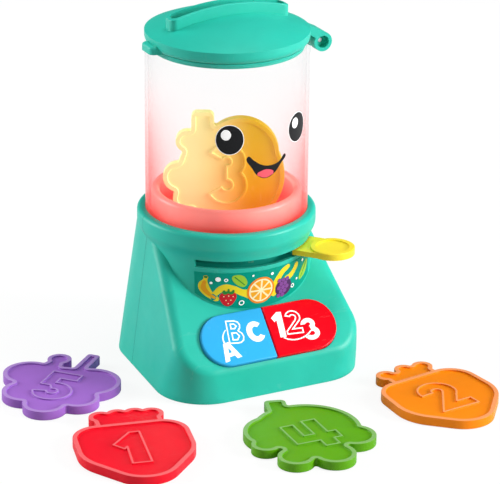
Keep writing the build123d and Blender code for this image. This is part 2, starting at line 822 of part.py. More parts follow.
save(
    screw_group(
        [Plane(origin=(x, y, FRAME_TOP_Z), z_dir=UP) for x, y in FRAME_SCREW_AT],
        FRAME_T + WALL - 0.3,
        SMALL_HEAD_R,
        SMALL_SCREW_R,
        SMALL_HEAD_T,
    ),
    "frame_screws",
)

with BuildPart() as lamp_board:
    with BuildSketch(Plane.XY.offset(LAMP_BOARD_Z)):
        Circle(LAMP_BOARD_OUT)
        Circle(LAMP_BOARD_IN, mode=Mode.SUBTRACT)
        with PolarLocations(STAKE_RING_R, 3, 30):
            Circle(STAKE_R, mode=Mode.SUBTRACT)
    extrude(amount=BOARD_T)
save(lamp_board.part, "lamp_board")

with BuildPart() as lamps:
    with BuildSketch(Plane.XY.offset(LAMP_BOARD_Z + BOARD_T)):
        with PolarLocations(LAMP_RING_R, LAMP_COUNT, 15):
            Circle(LAMP_R)
    extrude(amount=2.4)
    fillet(lamps.faces().group_by(Axis.Z)[-1].edges(), 1.1)
save(lamps.part, "lamps")

# ---------------------------------------------------------------- lever and lit bowl
BOWL_SCREW_RING_R = RING_R - 0.35 * RING_WIDE
BOWL_SCREW_ANGLES = [LEVER_ANGLE + 45.0 + 120.0 * i for i in range(3)]
BOWL_SCREW_AT = [polar(BOWL_SCREW_RING_R, angle)[:2] for angle in BOWL_SCREW_ANGLES]
LEVER_PLANE = Plane(origin=(0, 0, LEVER_Z), x_dir=polar(1.0, LEVER_ANGLE), z_dir=UP)

with BuildPart() as lever:
    with BuildSketch(LEVER_PLANE) as hub_sketch:
        Circle(RING_R)
        Circle(RING_R - RING_WIDE, mode=Mode.SUBTRACT)
        Rectangle(2 * RING_R - RING_WIDE, SPOKE_WIDE)
        Rectangle(SPOKE_WIDE, 2 * RING_R - RING_WIDE)
        Circle(HUB_R)
        with Locations((0.5 * (RING_R + LEVER_R) - 2.0, 0)):
            Rectangle(LEVER_R - RING_R, ARM_WIDE)
        with Locations((LEVER_R, 0)):
            Circle(PAD_R)
        Circle(SPINDLE_R + RUN, mode=Mode.SUBTRACT)
    extrude(amount=ARM_T)
    with BuildSketch(LEVER_PLANE):
        with Locations((LEVER_R, 0)):
            Circle(PAD_R)
    extrude(amount=PAD_T)
    pad_edges = lever.edges().filter_by(GeomType.CIRCLE).filter_by(lambda e: e.radius == PAD_R)
    fillet(pad_edges.group_by(Axis.Z)[-1], 0.6)
    with BuildSketch(LEVER_PLANE.offset(PAD_T - DISH_DEEP)):
        with Locations((LEVER_R, 0)):
            Circle(DISH_R)
    extrude(amount=DISH_DEEP, mode=Mode.SUBTRACT)
    with BuildSketch(Plane.XY.offset(LEVER_Z)):
        with Locations(*BOWL_SCREW_AT):
            Circle(SMALL_SCREW_R + 0.1)
    extrude(amount=ARM_T, mode=Mode.SUBTRACT)
    with BuildSketch(Plane.XY.offset(LEVER_Z)):
        with Locations(*BOWL_SCREW_AT):
            Circle(SMALL_HEAD_R + 0.2)
    extrude(amount=SMALL_HEAD_T + 0.2, mode=Mode.SUBTRACT)
save(lever.part, "lever")

BOWL_FOOT_R = RING_R - 6.0  # inner radius of the foot ring that sits on the lever
BOWL_SPHERE_R = 135.0  # of the dished floor
BOWL_UNDER_Z = SPINDLE_Z + 3.4  # clears the spindle screw
BOWL_DISH_Z = BOWL_UNDER_Z + BOWL_FLOOR
BOWL_IN_R = BOWL_R - BOWL_WALL
BOWL_LIP_LOW_Z = BOWL_RIM_Z - 0.5 * BOWL_RIM_WIDE
BOWL_LIP_IN_R = BOWL_R - BOWL_RIM_WIDE
BOWL_SCREW_LONG = 4.0


def dish_rise(radius):
    """Height of the bowl's floor over its middle at a radius."""
    return BOWL_SPHERE_R - math.sqrt(BOWL_SPHERE_R**2 - radius**2)


with BuildPart() as lit_bowl:
    with BuildSketch(Plane.XZ):
        with BuildLine():
            ThreePointArc(
                (0, BOWL_UNDER_Z),
                (0.5 * BOWL_FOOT_R, BOWL_UNDER_Z + dish_rise(0.5 * BOWL_FOOT_R)),
                (BOWL_FOOT_R, BOWL_UNDER_Z + dish_rise(BOWL_FOOT_R)),
            )
            Polyline(
                (BOWL_FOOT_R, BOWL_UNDER_Z + dish_rise(BOWL_FOOT_R)),
                (BOWL_FOOT_R, BOWL_Z),
                (BOWL_R, BOWL_Z),
                (BOWL_R, BOWL_LIP_LOW_Z),
            )
            ThreePointArc(
                (BOWL_R, BOWL_LIP_LOW_Z),
                (0.5 * (BOWL_R + BOWL_LIP_IN_R), BOWL_RIM_Z),
                (BOWL_LIP_IN_R, BOWL_LIP_LOW_Z),
            )
            Polyline(
                (BOWL_LIP_IN_R, BOWL_LIP_LOW_Z),
                (BOWL_IN_R, BOWL_RIM_Z - 1.6 * BOWL_RIM_WIDE),
                (BOWL_IN_R, BOWL_DISH_Z + dish_rise(BOWL_IN_R)),
            )
            ThreePointArc(
                (BOWL_IN_R, BOWL_DISH_Z + dish_rise(BOWL_IN_R)),
                (0.5 * BOWL_IN_R, BOWL_DISH_Z + dish_rise(0.5 * BOWL_IN_R)),
                (0, BOWL_DISH_Z),
            )
            Line((0, BOWL_DISH_Z), (0, BOWL_UNDER_Z))
        make_face()
    revolve(axis=Axis.Z)
    with BuildSketch(Plane.XY.offset(BOWL_Z)):
        with Locations(*BOWL_SCREW_AT):
            Circle(SMALL_SCREW_R)
    extrude(amount=BOWL_SCREW_LONG + 0.3, mode=Mode.SUBTRACT)
save(lit_bowl.part, "lit_bowl")

save(
    screw_group(
        [
            Plane(origin=(x, y, LEVER_Z + SMALL_HEAD_T + 0.2), x_dir=(1, 0, 0), z_dir=(0, 0, -1))
            for x, y in BOWL_SCREW_AT
        ],
        ARM_T - SMALL_HEAD_T - 0.2 + BOWL_SCREW_LONG,
        SMALL_HEAD_R,
        SMALL_SCREW_R,
        SMALL_HEAD_T,
    ),
    "bowl_screws",
)

WASHER_T = 0.8
with BuildPart() as spindle_washer:
    with BuildSketch(Plane.XY.offset(SPINDLE_Z)):
        Circle(SPINDLE_R + 2.5)
        Circle(SCREW_R + 0.1, mode=Mode.SUBTRACT)
    extrude(amount=WASHER_T)
save(spindle_washer.part, "spindle_washer")
save(
    screw(Plane(origin=(0, 0, SPINDLE_Z + WASHER_T), z_dir=UP), 9.0),
    "spindle_screw",
)

# ---------------------------------------------------------------- jar
with BuildPart() as jar:
    with BuildSketch(Plane.XZ):
        with BuildLine():
            Polyline(
                (JAR_BORE_R, JAR_TOP_Z),
                (JAR_BORE_R, JAR_FOOT_Z),
                (JAR_R + JAR_FLANGE_W, JAR_FOOT_Z),
                (JAR_R + JAR_FLANGE_W, JAR_FOOT_Z + JAR_FLANGE_T),
                (JAR_R, JAR_FOOT_Z + JAR_FLANGE_T),
                (JAR_R, JAR_BEAD_Z - JAR_BEAD),
            )
            ThreePointArc(
                (JAR_R, JAR_BEAD_Z - JAR_BEAD),
                (JAR_R + JAR_BEAD, JAR_BEAD_Z),
                (JAR_R, JAR_BEAD_Z + JAR_BEAD),
            )
            Polyline((JAR_R, JAR_BEAD_Z + JAR_BEAD), (JAR_R, JAR_TOP_Z), (JAR_BORE_R, JAR_TOP_Z))
        make_face()
    revolve(axis=Axis.Z)
    with BuildSketch(Plane.XZ.offset(-0.5 * LUG_WIDE)):
        with BuildLine():
            Polyline(
                (JAR_R - 0.4 * JAR_WALL, HINGE_Z - 0.5 * LUG_T - LUG_DROP),
                (HINGE_X, HINGE_Z - 0.5 * LUG_T),
                (HINGE_X, HINGE_Z + 0.5 * LUG_T),
                (JAR_R - 0.4 * JAR_WALL, HINGE_Z + 0.5 * LUG_T),
                close=True,
            )
        make_face()
        with Locations((HINGE_X, HINGE_Z)):
            Circle(LUG_HEAD_R)
            Circle(HINGE_PIN_R, mode=Mode.SUBTRACT)
    extrude(amount=LUG_WIDE)
save(jar.part, "jar")

HINGE_PIN_LONG = HINGE_LONG - 2 * HINGE_BORE_DEEP - 0.4
with BuildPart() as hinge_pin:
    with BuildSketch(Plane.XZ.offset(-0.5 * HINGE_PIN_LONG)):
        with Locations((HINGE_X, HINGE_Z)):
            Circle(HINGE_PIN_R)
    extrude(amount=HINGE_PIN_LONG)
    chamfer(hinge_pin.edges(), 0.25)
save(hinge_pin.part, "hinge_pin")


# ---------------------------------------------------------------- lid
def dome(radius_less, side_r, round_r, low):
    """Solid dome: sphere cap over a short straight side, its shoulder rounded."""
    sphere_r = LID_SPHERE_R - radius_less
    centre_z = LID_Z + LID_RISE - LID_SPHERE_R
    edge_z = centre_z + math.sqrt(sphere_r**2 - side_r**2)
    mid_r = 0.5 * side_r
    with BuildPart() as solid:
        with BuildSketch(Plane.XZ) as profile:
            with BuildLine():
                ThreePointArc(
                    (0, centre_z + sphere_r),
                    (mid_r, centre_z + math.sqrt(sphere_r**2 - mid_r**2)),
                    (side_r, edge_z),
                )
                Polyline((side_r, edge_z), (side_r, low), (0, low), (0, centre_z + sphere_r))
            make_face()
            shoulder = profile.vertices().sort_by_distance((side_r, 0, edge_z))[0]
            fillet(shoulder, round_r)
        revolve(axis=Axis.Z)
    return solid.part


def slot_frame():
    """Raised wall round the drop slot, its top following the dome's arch."""
    centre_z = LID_Z + LID_RISE - LID_SPHERE_R
    with BuildPart() as frame_part:
        with BuildSketch(Plane.XY.offset(LID_Z + 6.0)):
            RectangleRounded(
                SLOT_LONG + 2 * SLOT_WALL, SLOT_WIDE + 2 * SLOT_WALL, 0.5 * SLOT_WIDE
            )
        extrude(amount=LID_RISE + 2 * SLOT_RISE)
        with BuildSketch(Plane.XZ.offset(-SLOT_WIDE)):
            with Locations((0, centre_z)):
                Circle(LID_SPHERE_R + SLOT_RISE)
        extrude(amount=2 * SLOT_WIDE, mode=Mode.INTERSECT)
        top = frame_part.faces().sort_by(Axis.Z)[-1]
        fillet(top.edges(), 0.7)
    return frame_part.part


def hinge_barrel():
    """Barrel with its web, end recesses, and the notch for the jar's lug."""
    half = 0.5 * HINGE_LONG
    notch = 0.5 * LUG_WIDE + 0.4
    clear_r = LUG_HEAD_R + 0.6
    reach = HINGE_R + 1.0
    with BuildPart() as barrel:
        with BuildSketch(Plane.XZ.offset(-half)):
            with BuildLine():
                Polyline(
                    (LID_R + 0.8, LID_Z),
                    (LID_R - 8.0, LID_Z),
                    (LID_R - 8.0, LID_Z + 10.0),
                    (LID_R - 3.0, LID_Z + 8.8),
                    (HINGE_X + 0.5 * HINGE_R, HINGE_Z + 0.85 * HINGE_R),
                    (HINGE_X, HINGE_Z),
                    (HINGE_X - 0.85 * HINGE_R, HINGE_Z + 0.52 * HINGE_R),
                    close=True,
                )
            make_face()
            with Locations((HINGE_X, HINGE_Z)):
                Circle(HINGE_R)
        extrude(amount=HINGE_LONG)
        with BuildSketch(Plane.XZ.offset(-notch)):
            with BuildLine():
                Polyline(
                    (HINGE_X, HINGE_Z),
                    (HINGE_X + reach * math.cos(math.radians(147)), HINGE_Z + 0.58 * reach),
                    (HINGE_X - 1.4 * reach, HINGE_Z),
                    (HINGE_X - reach, HINGE_Z - 1.4 * reach),
                    (HINGE_X + reach, HINGE_Z - 1.4 * reach),
                    (HINGE_X + reach, HINGE_Z - 0.6 * reach),
                    close=True,
                )
            make_face()
            with Locations((HINGE_X, HINGE_Z)):
                Circle(clear_r)
        extrude(amount=2 * notch, mode=Mode.SUBTRACT)
        with BuildSketch(Plane.XZ.offset(-half)):
            with Locations((HINGE_X, HINGE_Z)):
                Circle(HINGE_PIN_R + RUN)
        extrude(amount=HINGE_LONG, mode=Mode.SUBTRACT)
        for start, amount in ((-half, HINGE_BORE_DEEP), (half, -HINGE_BORE_DEEP)):
            with BuildSketch(Plane.XZ.offset(start)):
                with Locations((HINGE_X, HINGE_Z)):
                    Circle(HINGE_BORE_R)
            extrude(amount=amount, mode=Mode.SUBTRACT)
    return barrel.part


PLUG_TOP_R = JAR_BORE_R - 0.5
PLUG_LOW_R = JAR_BORE_R - 1.8
PLUG_WALL = 2.0
with BuildPart() as lid:
    add(dome(0.0, LID_R, LID_ROUND, LID_Z))
    add(hinge_barrel())
    with BuildSketch(Plane.XY.offset(LID_Z + 0.3)):
        with Locations((-LID_R - LIP_REACH + 8.0, 0)):
            RectangleRounded(16.0, LIP_WIDE, 4.0)
    extrude(amount=LIP_T)
    lip_edges = lid.edges().filter_by(lambda e: e.center().X < -LID_R - 0.5)
    fillet(lip_edges.group_by(Axis.Z)[-1], 1.8)
    add(slot_frame())
    add(dome(LID_WALL, LID_R - LID_WALL, LID_ROUND - 1.5, LID_Z + LID_WALL), mode=Mode.SUBTRACT)
    with BuildSketch(Plane.XY.offset(LID_Z)):
        Circle(PLUG_TOP_R - PLUG_WALL)
    extrude(amount=LID_WALL, mode=Mode.SUBTRACT)
    with BuildSketch(Plane.XZ):
        with BuildLine():
            Polyline(
                (PLUG_TOP_R, LID_Z + 0.5),
                (PLUG_TOP_R, LID_Z),
                (PLUG_LOW_R, LID_Z - LID_PLUG),
                (PLUG_LOW_R - 1.2, LID_Z - LID_PLUG),
                (PLUG_TOP_R - PLUG_WALL, LID_Z),
                (PLUG_TOP_R - PLUG_WALL, LID_Z + 0.5),
                close=True,
            )
        make_face()
    revolve(axis=Axis.Z)
    with BuildSketch(Plane.XY.offset(LID_Z + LID_WALL)):
        RectangleRounded(SLOT_LONG, SLOT_WIDE, 0.5 * SLOT_WIDE - 0.6)
    extrude(amount=LID_RISE + 2 * SLOT_RISE, mode=Mode.SUBTRACT)
save(lid.part, "lid")

# ---------------------------------------------------------------- buttons
BUTTON_SPLIT = 0.15  # half of the gap between the two buttons
BUTTON_SIDES = ((-1.0, "blue"), (1.0, "red"))
STEM_U = 26.0
CAP_TOP_T = BUTTON_WALL
CAP_LOW = 4.5  # apron surface to the button's lower edge
FLANGE_T = 1.6
BOARD_TOP = BOARD_DEEP - BOARD_T  # apron surface to the button board's top
SWITCH_TOP = BOARD_TOP - SWITCH_HIGH
STEM_LOW = SWITCH_TOP - BUTTON_TRAVEL - 0.1
FRAME_PLATE_T = 2.0


def half_pill(side, grow):
    """One button's half of the pill outline."""
    with BuildSketch() as half:
        add(pill(grow))
        with Locations((side * (BUTTON_SPLIT + 0.5 * PILL_LONG), PILL_V)):
            Rectangle(PILL_LONG, 2 * PILL_HIGH, mode=Mode.INTERSECT)
    return half.sketch


def apron_plane(u, v, w):
    """Plane parallel to the apron at a point given in the apron's coordinates."""
    return Plane(
        origin=APRON.from_local_coords((u, v, w)), x_dir=(1, 0, 0), z_dir=APRON.z_dir
    )


for side, colour in BUTTON_SIDES:
    with BuildPart() as button:
        with BuildSketch(APRON.offset(-CAP_LOW)):
            add(half_pill(side, 0.0))
        extrude(amount=CAP_LOW + BUTTON_PROUD)
        cap = button.faces().sort_by(lambda f: f.normal_at().dot(APRON.z_dir))[-1]
        fillet(cap.edges(), BUTTON_EDGE_R)
        with BuildSketch(APRON.offset(-CAP_LOW)):
            add(half_pill(side, BUTTON_FLANGE))
        extrude(amount=FLANGE_T)
        with BuildSketch(APRON.offset(-CAP_LOW)):
            offset(half_pill(side, 0.0), -BUTTON_WALL)
        extrude(amount=CAP_LOW + BUTTON_PROUD - CAP_TOP_T, mode=Mode.SUBTRACT)
        with BuildSketch(apron_plane(side * STEM_U, PILL_V, -STEM_LOW)):
            Circle(STEM_R)
        extrude(amount=STEM_LOW + BUTTON_PROUD - 0.5 * CAP_TOP_T)
    save(button.part, f"{colour}_button")
    board_spot = apron_plane(side * STEM_U, PILL_V, -BOARD_TOP)
    with BuildPart() as switch:
        with BuildSketch(board_spot):
            Rectangle(SWITCH_SIDE, SWITCH_SIDE)
        extrude(amount=0.7 * SWITCH_HIGH)
        with BuildSketch(board_spot):
            Circle(0.3 * SWITCH_SIDE)
        extrude(amount=SWITCH_HIGH)
    save(switch.part, f"{colour}_switch")
    spring_long = BOARD_TOP + BUTTON_PROUD - CAP_TOP_T - 0.05
    save(coil(board_spot, SPRING_R, SPRING_WIRE_R, spring_long, SPRING_TURNS), f"{colour}_spring")

with BuildPart() as button_frame:
    with BuildSketch(APRON.offset(-BOARD_DEEP - FRAME_PLATE_T)) as plate:
        for u, v in POST_UV:
            with Locations((u, v)):
                Circle(5.0)
        make_hull()
        for u, v in POST_UV:
            with Locations((u, v)):
                Circle(SMALL_SCREW_R + 0.1, mode=Mode.SUBTRACT)
    extrude(amount=FRAME_PLATE_T)
    with BuildSketch(APRON.offset(-BOARD_DEEP)):
        with Locations((-35.0, PILL_V), (35.0, PILL_V)):
            Circle(STAKE_R)
    extrude(amount=BOARD_T + 0.6)
save(button_frame.part, "button_frame")

with BuildPart() as button_board:
    with BuildSketch(APRON.offset(-BOARD_DEEP)):
        with Locations((0, PILL_V)):
            RectangleRounded(80.0, 24.0, 2.0)
        with Locations((-35.0, PILL_V), (35.0, PILL_V)):
            Circle(STAKE_R, mode=Mode.SUBTRACT)
    extrude(amount=BOARD_T)
save(button_board.part, "button_board")

FRAME_UNDER = APRON.offset(-BOARD_DEEP - FRAME_PLATE_T)
save(
    screw_group(
        [
            Plane(
                origin=FRAME_UNDER.from_local_coords((u, v, 0)),
                x_dir=(1, 0, 0),
                z_dir=-FRAME_UNDER.z_dir,
            )
            for u, v in POST_UV
        ],
        FRAME_PLATE_T + 7.0,
        SMALL_HEAD_R,
        SMALL_SCREW_R,
        SMALL_HEAD_T,
    ),
    "button_screws",
)

# ---------------------------------------------------------------- main board
with BuildPart() as main_board:
    with BuildSketch(Plane.XY.offset(BOARD_Z)):
        with Locations((0, BOX_Y)):
            RectangleRounded(MAIN_LONG, MAIN_WIDE, 2.0)
            with GridLocations(MAIN_LONG - 16.0, MAIN_WIDE - 8.0, 2, 2):
                Circle(SMALL_SCREW_R + 0.1, mode=Mode.SUBTRACT)
    extrude(amount=BOARD_T)
save(main_board.part, "main_board")

BOARD_TOP_Z = BOARD_Z + BOARD_T
BOARD_SCREWS = [
    (x, BOX_Y + y)
    for x in (-0.5 * MAIN_LONG + 8.0, 0.5 * MAIN_LONG - 8.0)
    for y in (-0.5 * MAIN_WIDE + 4.0, 0.5 * MAIN_WIDE - 4.0)
]
save(
    screw_group(
        [Plane(origin=(x, y, BOARD_TOP_Z), z_dir=UP) for x, y in BOARD_SCREWS],
        BOARD_T + MAIN_LIFT - 0.3,
        SMALL_HEAD_R,
        SMALL_SCREW_R,
        SMALL_HEAD_T,
    ),
    "board_screws",
)

with BuildPart() as sound_chip:
    with BuildSketch(Plane.XY.offset(BOARD_TOP_Z)):
        with Locations((4.0, 26.0)):
            Circle(7.5)
    extrude(amount=1.6)
    fillet(sound_chip.faces().sort_by(Axis.Z)[-1].edges(), 1.0)
save(sound_chip.part, "sound_chip")

with BuildPart() as capacitor:
    with BuildSketch(Plane.XY.offset(BOARD_TOP_Z)):
        with Locations((-0.5 * MAIN_LONG + 15.0, 24.0)):
            Circle(4.0)
    extrude(amount=10.0)
    fillet(capacitor.faces().sort_by(Axis.Z)[-1].edges(), 0.6)
save(capacitor.part, "capacitor")

CONNECTOR_AT = ((0.5 * MAIN_LONG - 15.0, 20.0), (0.5 * MAIN_LONG - 9.0, 33.0))
with BuildPart() as connectors:
    for x, y in CONNECTOR_AT:
        with BuildSketch(Plane.XY.offset(BOARD_TOP_Z)):
            with Locations((x, y)):
                Rectangle(10.0, 5.0)
        extrude(amount=5.0)
save(connectors.part, "connectors")

# ---------------------------------------------------------------- speaker
SPEAKER_GAP = 1.5  # rear wall's inner face to the speaker's rim
SPEAKER_Y = rear_wall_y(SPEAKER_Z) - SPEAKER_GAP
SPEAKER_AXIS = Axis((0, SPEAKER_Y, SPEAKER_Z), (0, 1, 0))
SPEAKER_RIM_T = 1.4
BASKET_T = 0.9
BASKET_DEEP = SPEAKER_DEEP - MAGNET_T
BASKET_BACK_R = MAGNET_R + 2.0


def speaker_ring(points):
    """Body turned about the speaker's axis from (radius, depth) points."""
    with BuildPart() as turned:
        with BuildSketch(Plane(origin=(0, SPEAKER_Y, SPEAKER_Z), z_dir=(0, 0, 1))):
            with BuildLine():
                Polyline(*[(radius, -deep) for radius, deep in points], close=True)
            make_face()
        revolve(axis=SPEAKER_AXIS)
    return turned.part


save(
    speaker_ring(
        [
            (SPEAKER_R, 0.0),
            (SPEAKER_R, SPEAKER_RIM_T),
            (SPEAKER_R - 3.0, SPEAKER_RIM_T),
            (BASKET_BACK_R, BASKET_DEEP),
            (0.0, BASKET_DEEP),
            (0.0, BASKET_DEEP - BASKET_T),
            (BASKET_BACK_R - BASKET_T, BASKET_DEEP - BASKET_T),
            (SPEAKER_R - 3.0 - BASKET_T, 0.0),
        ]
    ),
    "speaker_basket",
)
save(
    speaker_ring(
        [
            (0.0, BASKET_DEEP),
            (MAGNET_R, BASKET_DEEP),
            (MAGNET_R, SPEAKER_DEEP),
            (0.0, SPEAKER_DEEP),
        ]
    ),
    "speaker_magnet",
)
CONE_R = SPEAKER_R - 3.0 - BASKET_T - 0.2
CONE_T = 0.5
save(
    speaker_ring(
        [
            (0.0, 3.4),
            (4.0, 4.4),
            (6.0, 6.0),
            (CONE_R - 3.4, 1.4),
            (CONE_R - 1.0, 0.3),
            (CONE_R - 1.0, 0.3 + CONE_T),
            (CONE_R - 3.4, 1.4 + CONE_T),
            (6.0, 6.0 + CONE_T),
            (4.0, 4.4 + CONE_T),
            (0.0, 3.4 + CONE_T),
        ]
    ),
    "speaker_cone",
)

# ---------------------------------------------------------------- slide switch
KNOB_PLATE_LONG = KNOB_SLOT_LONG + 2 * KNOB_TRAVEL + 1.0
KNOB_PLATE_T = 1.0
KNOB_PLATE_Z = COVER_T + 0.1
CASE_LONG = KNOB_PLATE_LONG + 2 * KNOB_TRAVEL + 4.0
CASE_WIDE = 13.0
CASE_HIGH = 6.5
with BuildPart() as switch_knob:
    with BuildSketch(Plane.XY.offset(0.6)):
        with Locations((0, KNOB_Y)):
            RectangleRounded(KNOB_LONG, KNOB_WIDE, 0.8)
    extrude(amount=KNOB_PLATE_Z - 0.6)
    with BuildSketch(Plane.XY.offset(0.6)):
        with Locations((0, KNOB_Y)):
            with GridLocations(1.8, 1.0, 3, 1):
                Rectangle(0.7, KNOB_WIDE)
    extrude(amount=0.4, mode=Mode.SUBTRACT)
    with BuildSketch(Plane.XY.offset(KNOB_PLATE_Z)):
        with Locations((0, KNOB_Y)):
            Rectangle(KNOB_PLATE_LONG, KNOB_WIDE + 3.0)
    extrude(amount=KNOB_PLATE_T)
save(switch_knob.part, "switch_knob")

with BuildPart() as switch_case:
    with BuildSketch(Plane.XY.offset(COVER_T)):
        with Locations((0, KNOB_Y)):
            RectangleRounded(CASE_LONG, CASE_WIDE, 1.0)
    extrude(amount=CASE_HIGH)
    with BuildSketch(Plane.XY.offset(COVER_T)):
        with Locations((0, KNOB_Y)):
            Rectangle(CASE_LONG - 2.4, KNOB_WIDE + 3.0 + 2 * FIT)
    extrude(amount=KNOB_PLATE_T + 0.1 + FIT, mode=Mode.SUBTRACT)
save(switch_case.part, "switch_case")

# ---------------------------------------------------------------- front label
LABEL_MARGIN_PLANE = APRON.offset(LABEL_MARGIN)
with BuildPart() as front_label:
    add(neck(-SKIN))
    add(neck(0.0), mode=Mode.SUBTRACT)
    with BuildSketch(Plane.XY.offset(NECK_LOW_Z)):
        with Locations((0, -0.5 * NECK_LOW_A - 20.0)):
            Rectangle(2 * LABEL_HALF, NECK_LOW_A)
    extrude(amount=LABEL_TOP_Z - NECK_LOW_Z, mode=Mode.INTERSECT)
    split(bisect_by=LABEL_MARGIN_PLANE, keep=Keep.TOP)
save(front_label.part, "front_label")


# ---------------------------------------------------------------- play pieces
def lobes(circles, bars=(), blend=1.5):
    """Outline of round lobes (x, y, r) and bars (x, y, wide, long), its inner corners rounded."""
    with BuildSketch() as outline:
        for x, y, radius in circles:
            with Locations((x, y)):
                Circle(radius)
        for x, y, wide, long in bars:
            with Locations((x, y)):
                RectangleRounded(wide, long, 0.25 * min(wide, long))
        offset(amount=blend)
        offset(amount=-blend)
    return outline.sketch


def drop_shape(circles):
    """Smooth outline stretched round a few circles (x, y, r)."""
    with BuildSketch() as outline:
        for x, y, radius in circles:
            with Locations((x, y)):
                Circle(radius)
        make_hull()
    return outline.sketch


def arc_stroke(x, y, start, sweep, radius=0.92 * DIGIT_STROKE, width=DIGIT_STROKE):
    """Square-ended curved stroke of a numeral."""
    outer = radius + 0.5 * width
    inner = radius - 0.5 * width
    with BuildSketch() as stroke:
        with BuildLine():
            CenterArc((x, y), outer, start, sweep)
            CenterArc((x, y), inner, start, sweep)
            for angle in (start, start + sweep):
                turn = math.radians(angle)
                Line(
                    (x + inner * math.cos(turn), y + inner * math.sin(turn)),
                    (x + outer * math.cos(turn), y + outer * math.sin(turn)),
                )
        make_face()
    return stroke.sketch


def block_stroke(points):
    """Straight-sided part of a numeral."""
    with BuildSketch() as stroke:
        with BuildLine():
            Polyline(*points, close=True)
        make_face()
    return stroke.sketch


def numeral(parts, place, turn):
    """Numeral from its strokes, moved to its place on a piece."""
    with BuildSketch() as shape:
        for stroke in parts:
            add(stroke)
    return Location((place[0], place[1], 0), (0, 0, turn)) * shape.sketch


def play_piece(plane, shapes, digit):
    """Flat piece with a raised rim round each shape and the numeral's ridge."""
    top = plane.offset(PIECE_T)
    field = plane.offset(PIECE_T - PIECE_FIELD)
    with BuildPart() as piece:
        for shape in shapes:
            with BuildSketch(plane):
                add(shape)
            extrude(amount=PIECE_T)
        for index, shape in enumerate(shapes):
            with BuildSketch(field):
                offset(shape, -PIECE_RIM)
                for other in shapes[:index]:
                    add(other, mode=Mode.SUBTRACT)
            extrude(amount=PIECE_FIELD, mode=Mode.SUBTRACT)
        with BuildSketch(field):
            offset(digit, DIGIT_RIDGE)
            offset(digit, -DIGIT_RIDGE, mode=Mode.SUBTRACT)
        extrude(amount=PIECE_FIELD)
    return piece.part


def table_plane(x, y, turn):
    """Plane of a piece lying on the table."""
    return Plane(origin=(x, y, 0), x_dir=polar(1.0, turn), z_dir=UP)


ONE = [
    block_stroke(
        [(-1, 14), (6, 14), (5, -32), (-8, -32), (-6.5, -7), (-9, -10), (-15, -2.5)]
    )
]
TWO = [
    arc_stroke(0.5, 1.0, -45, 230),
    block_stroke([(3.35, -1.85), (10.1, -8.6), (3.2, -18.5), (-15, -28)]),
    block_stroke([(-15, -28), (15, -28), (15, -18.5), (-8.5, -18.5)]),
]
THREE = [
    arc_stroke(0.0, 9.0, -90, 240, 0.85 * DIGIT_STROKE),
    arc_stroke(0.0, -8.6, -150, 240, 0.95 * DIGIT_STROKE),
]
FOUR = [
    block_stroke([(1, 20), (11, 20), (11, -20), (1, -20)]),
    block_stroke([(-16, -1), (17, -1), (17, -11), (-16, -11)]),
    block_stroke([(-16, 17), (-6.5, 17), (-6.5, -5), (-16, -5)]),
]
FIVE = [
    block_stroke([(-11, 16), (11, 16), (11, 6.5), (-11, 6.5)]),
    block_stroke([(-11, 16), (-1.5, 16), (-1.5, -6), (-11, -6)]),
    arc_stroke(1.5, -14.5, -165, 285),
]

GRAPES = lobes(
    [
        (-25.8, 7.2, 18.7),
        (-15.9, 36.2, 8.6),
        (-15.9, 26.0, 7.0),
        (19.7, 9.3, 21.9),
        (22.7, -17.8, 15.0),
        (5.1, -34.5, 15.3),
        (-15.4, -21.0, 16.8),
        (0.0, 0.0, 26.0),
    ],
    [(4.5, 36.0, 9.5, 32.0)],
)
save(
    play_piece(table_plane(-137.4, -14.7, -47.5), [GRAPES], numeral(FIVE, (0, 0), 0)),
    "piece_five",
)

STRAWBERRY = drop_shape(
    [(-21.5, 10.5, 18.5), (21.5, 10.5, 18.5), (-8, -8, 32.5), (8, -8, 31.5), (0, -30, 24.5)]
)
STRAWBERRY_CROWN = lobes(
    [(-14.8, 41.5, 8.4), (-3.0, 43.0, 8.0), (9.0, 42.6, 8.0), (20.2, 40.0, 8.4)],
    [(2.4, 31.0, 46.0, 20.0)],
    0.8,
)
save(
    play_piece(
        table_plane(-127.9, -122.9, -12.3),
        [STRAWBERRY, STRAWBERRY_CROWN],
        numeral(ONE, (0, 0), 0),
    ),
    "piece_one",
)

SPROUT = lobes(
    [
        (1.9, 4.9, 37.0),
        (31.5, -10.1, 14.8),
        (13.1, -35.3, 14.4),
        (-13.2, -36.4, 12.5),
        (-16.5, 2.3, 25.8),
        (-30.0, -16.0, 10.0),
    ],
    [(-13.0, 42.0, 15.0, 18.0)],
)
save(
    play_piece(table_plane(-17.5, -158.7, -17.2), [SPROUT], numeral(FOUR, (3.5, -4.5), 15)),
    "piece_four",
)

ORANGE = drop_shape(
    [(-18, 11, 18), (21, 11, 19.5), (-6, -8, 32), (9, -6, 32), (0, -28, 23)]
)
ORANGE_CROWN = lobes(
    [(-14.0, 41.0, 7.5), (3.0, 43.5, 7.0), (17.0, 41.0, 7.5)],
    [(1.5, 32.0, 38.0, 20.0)],
)
save(
    play_piece(
        table_plane(93.9, -143.2, 6.3), [ORANGE, ORANGE_CROWN], numeral(TWO, (0, 0), 0)
    ),
    "piece_two",
)

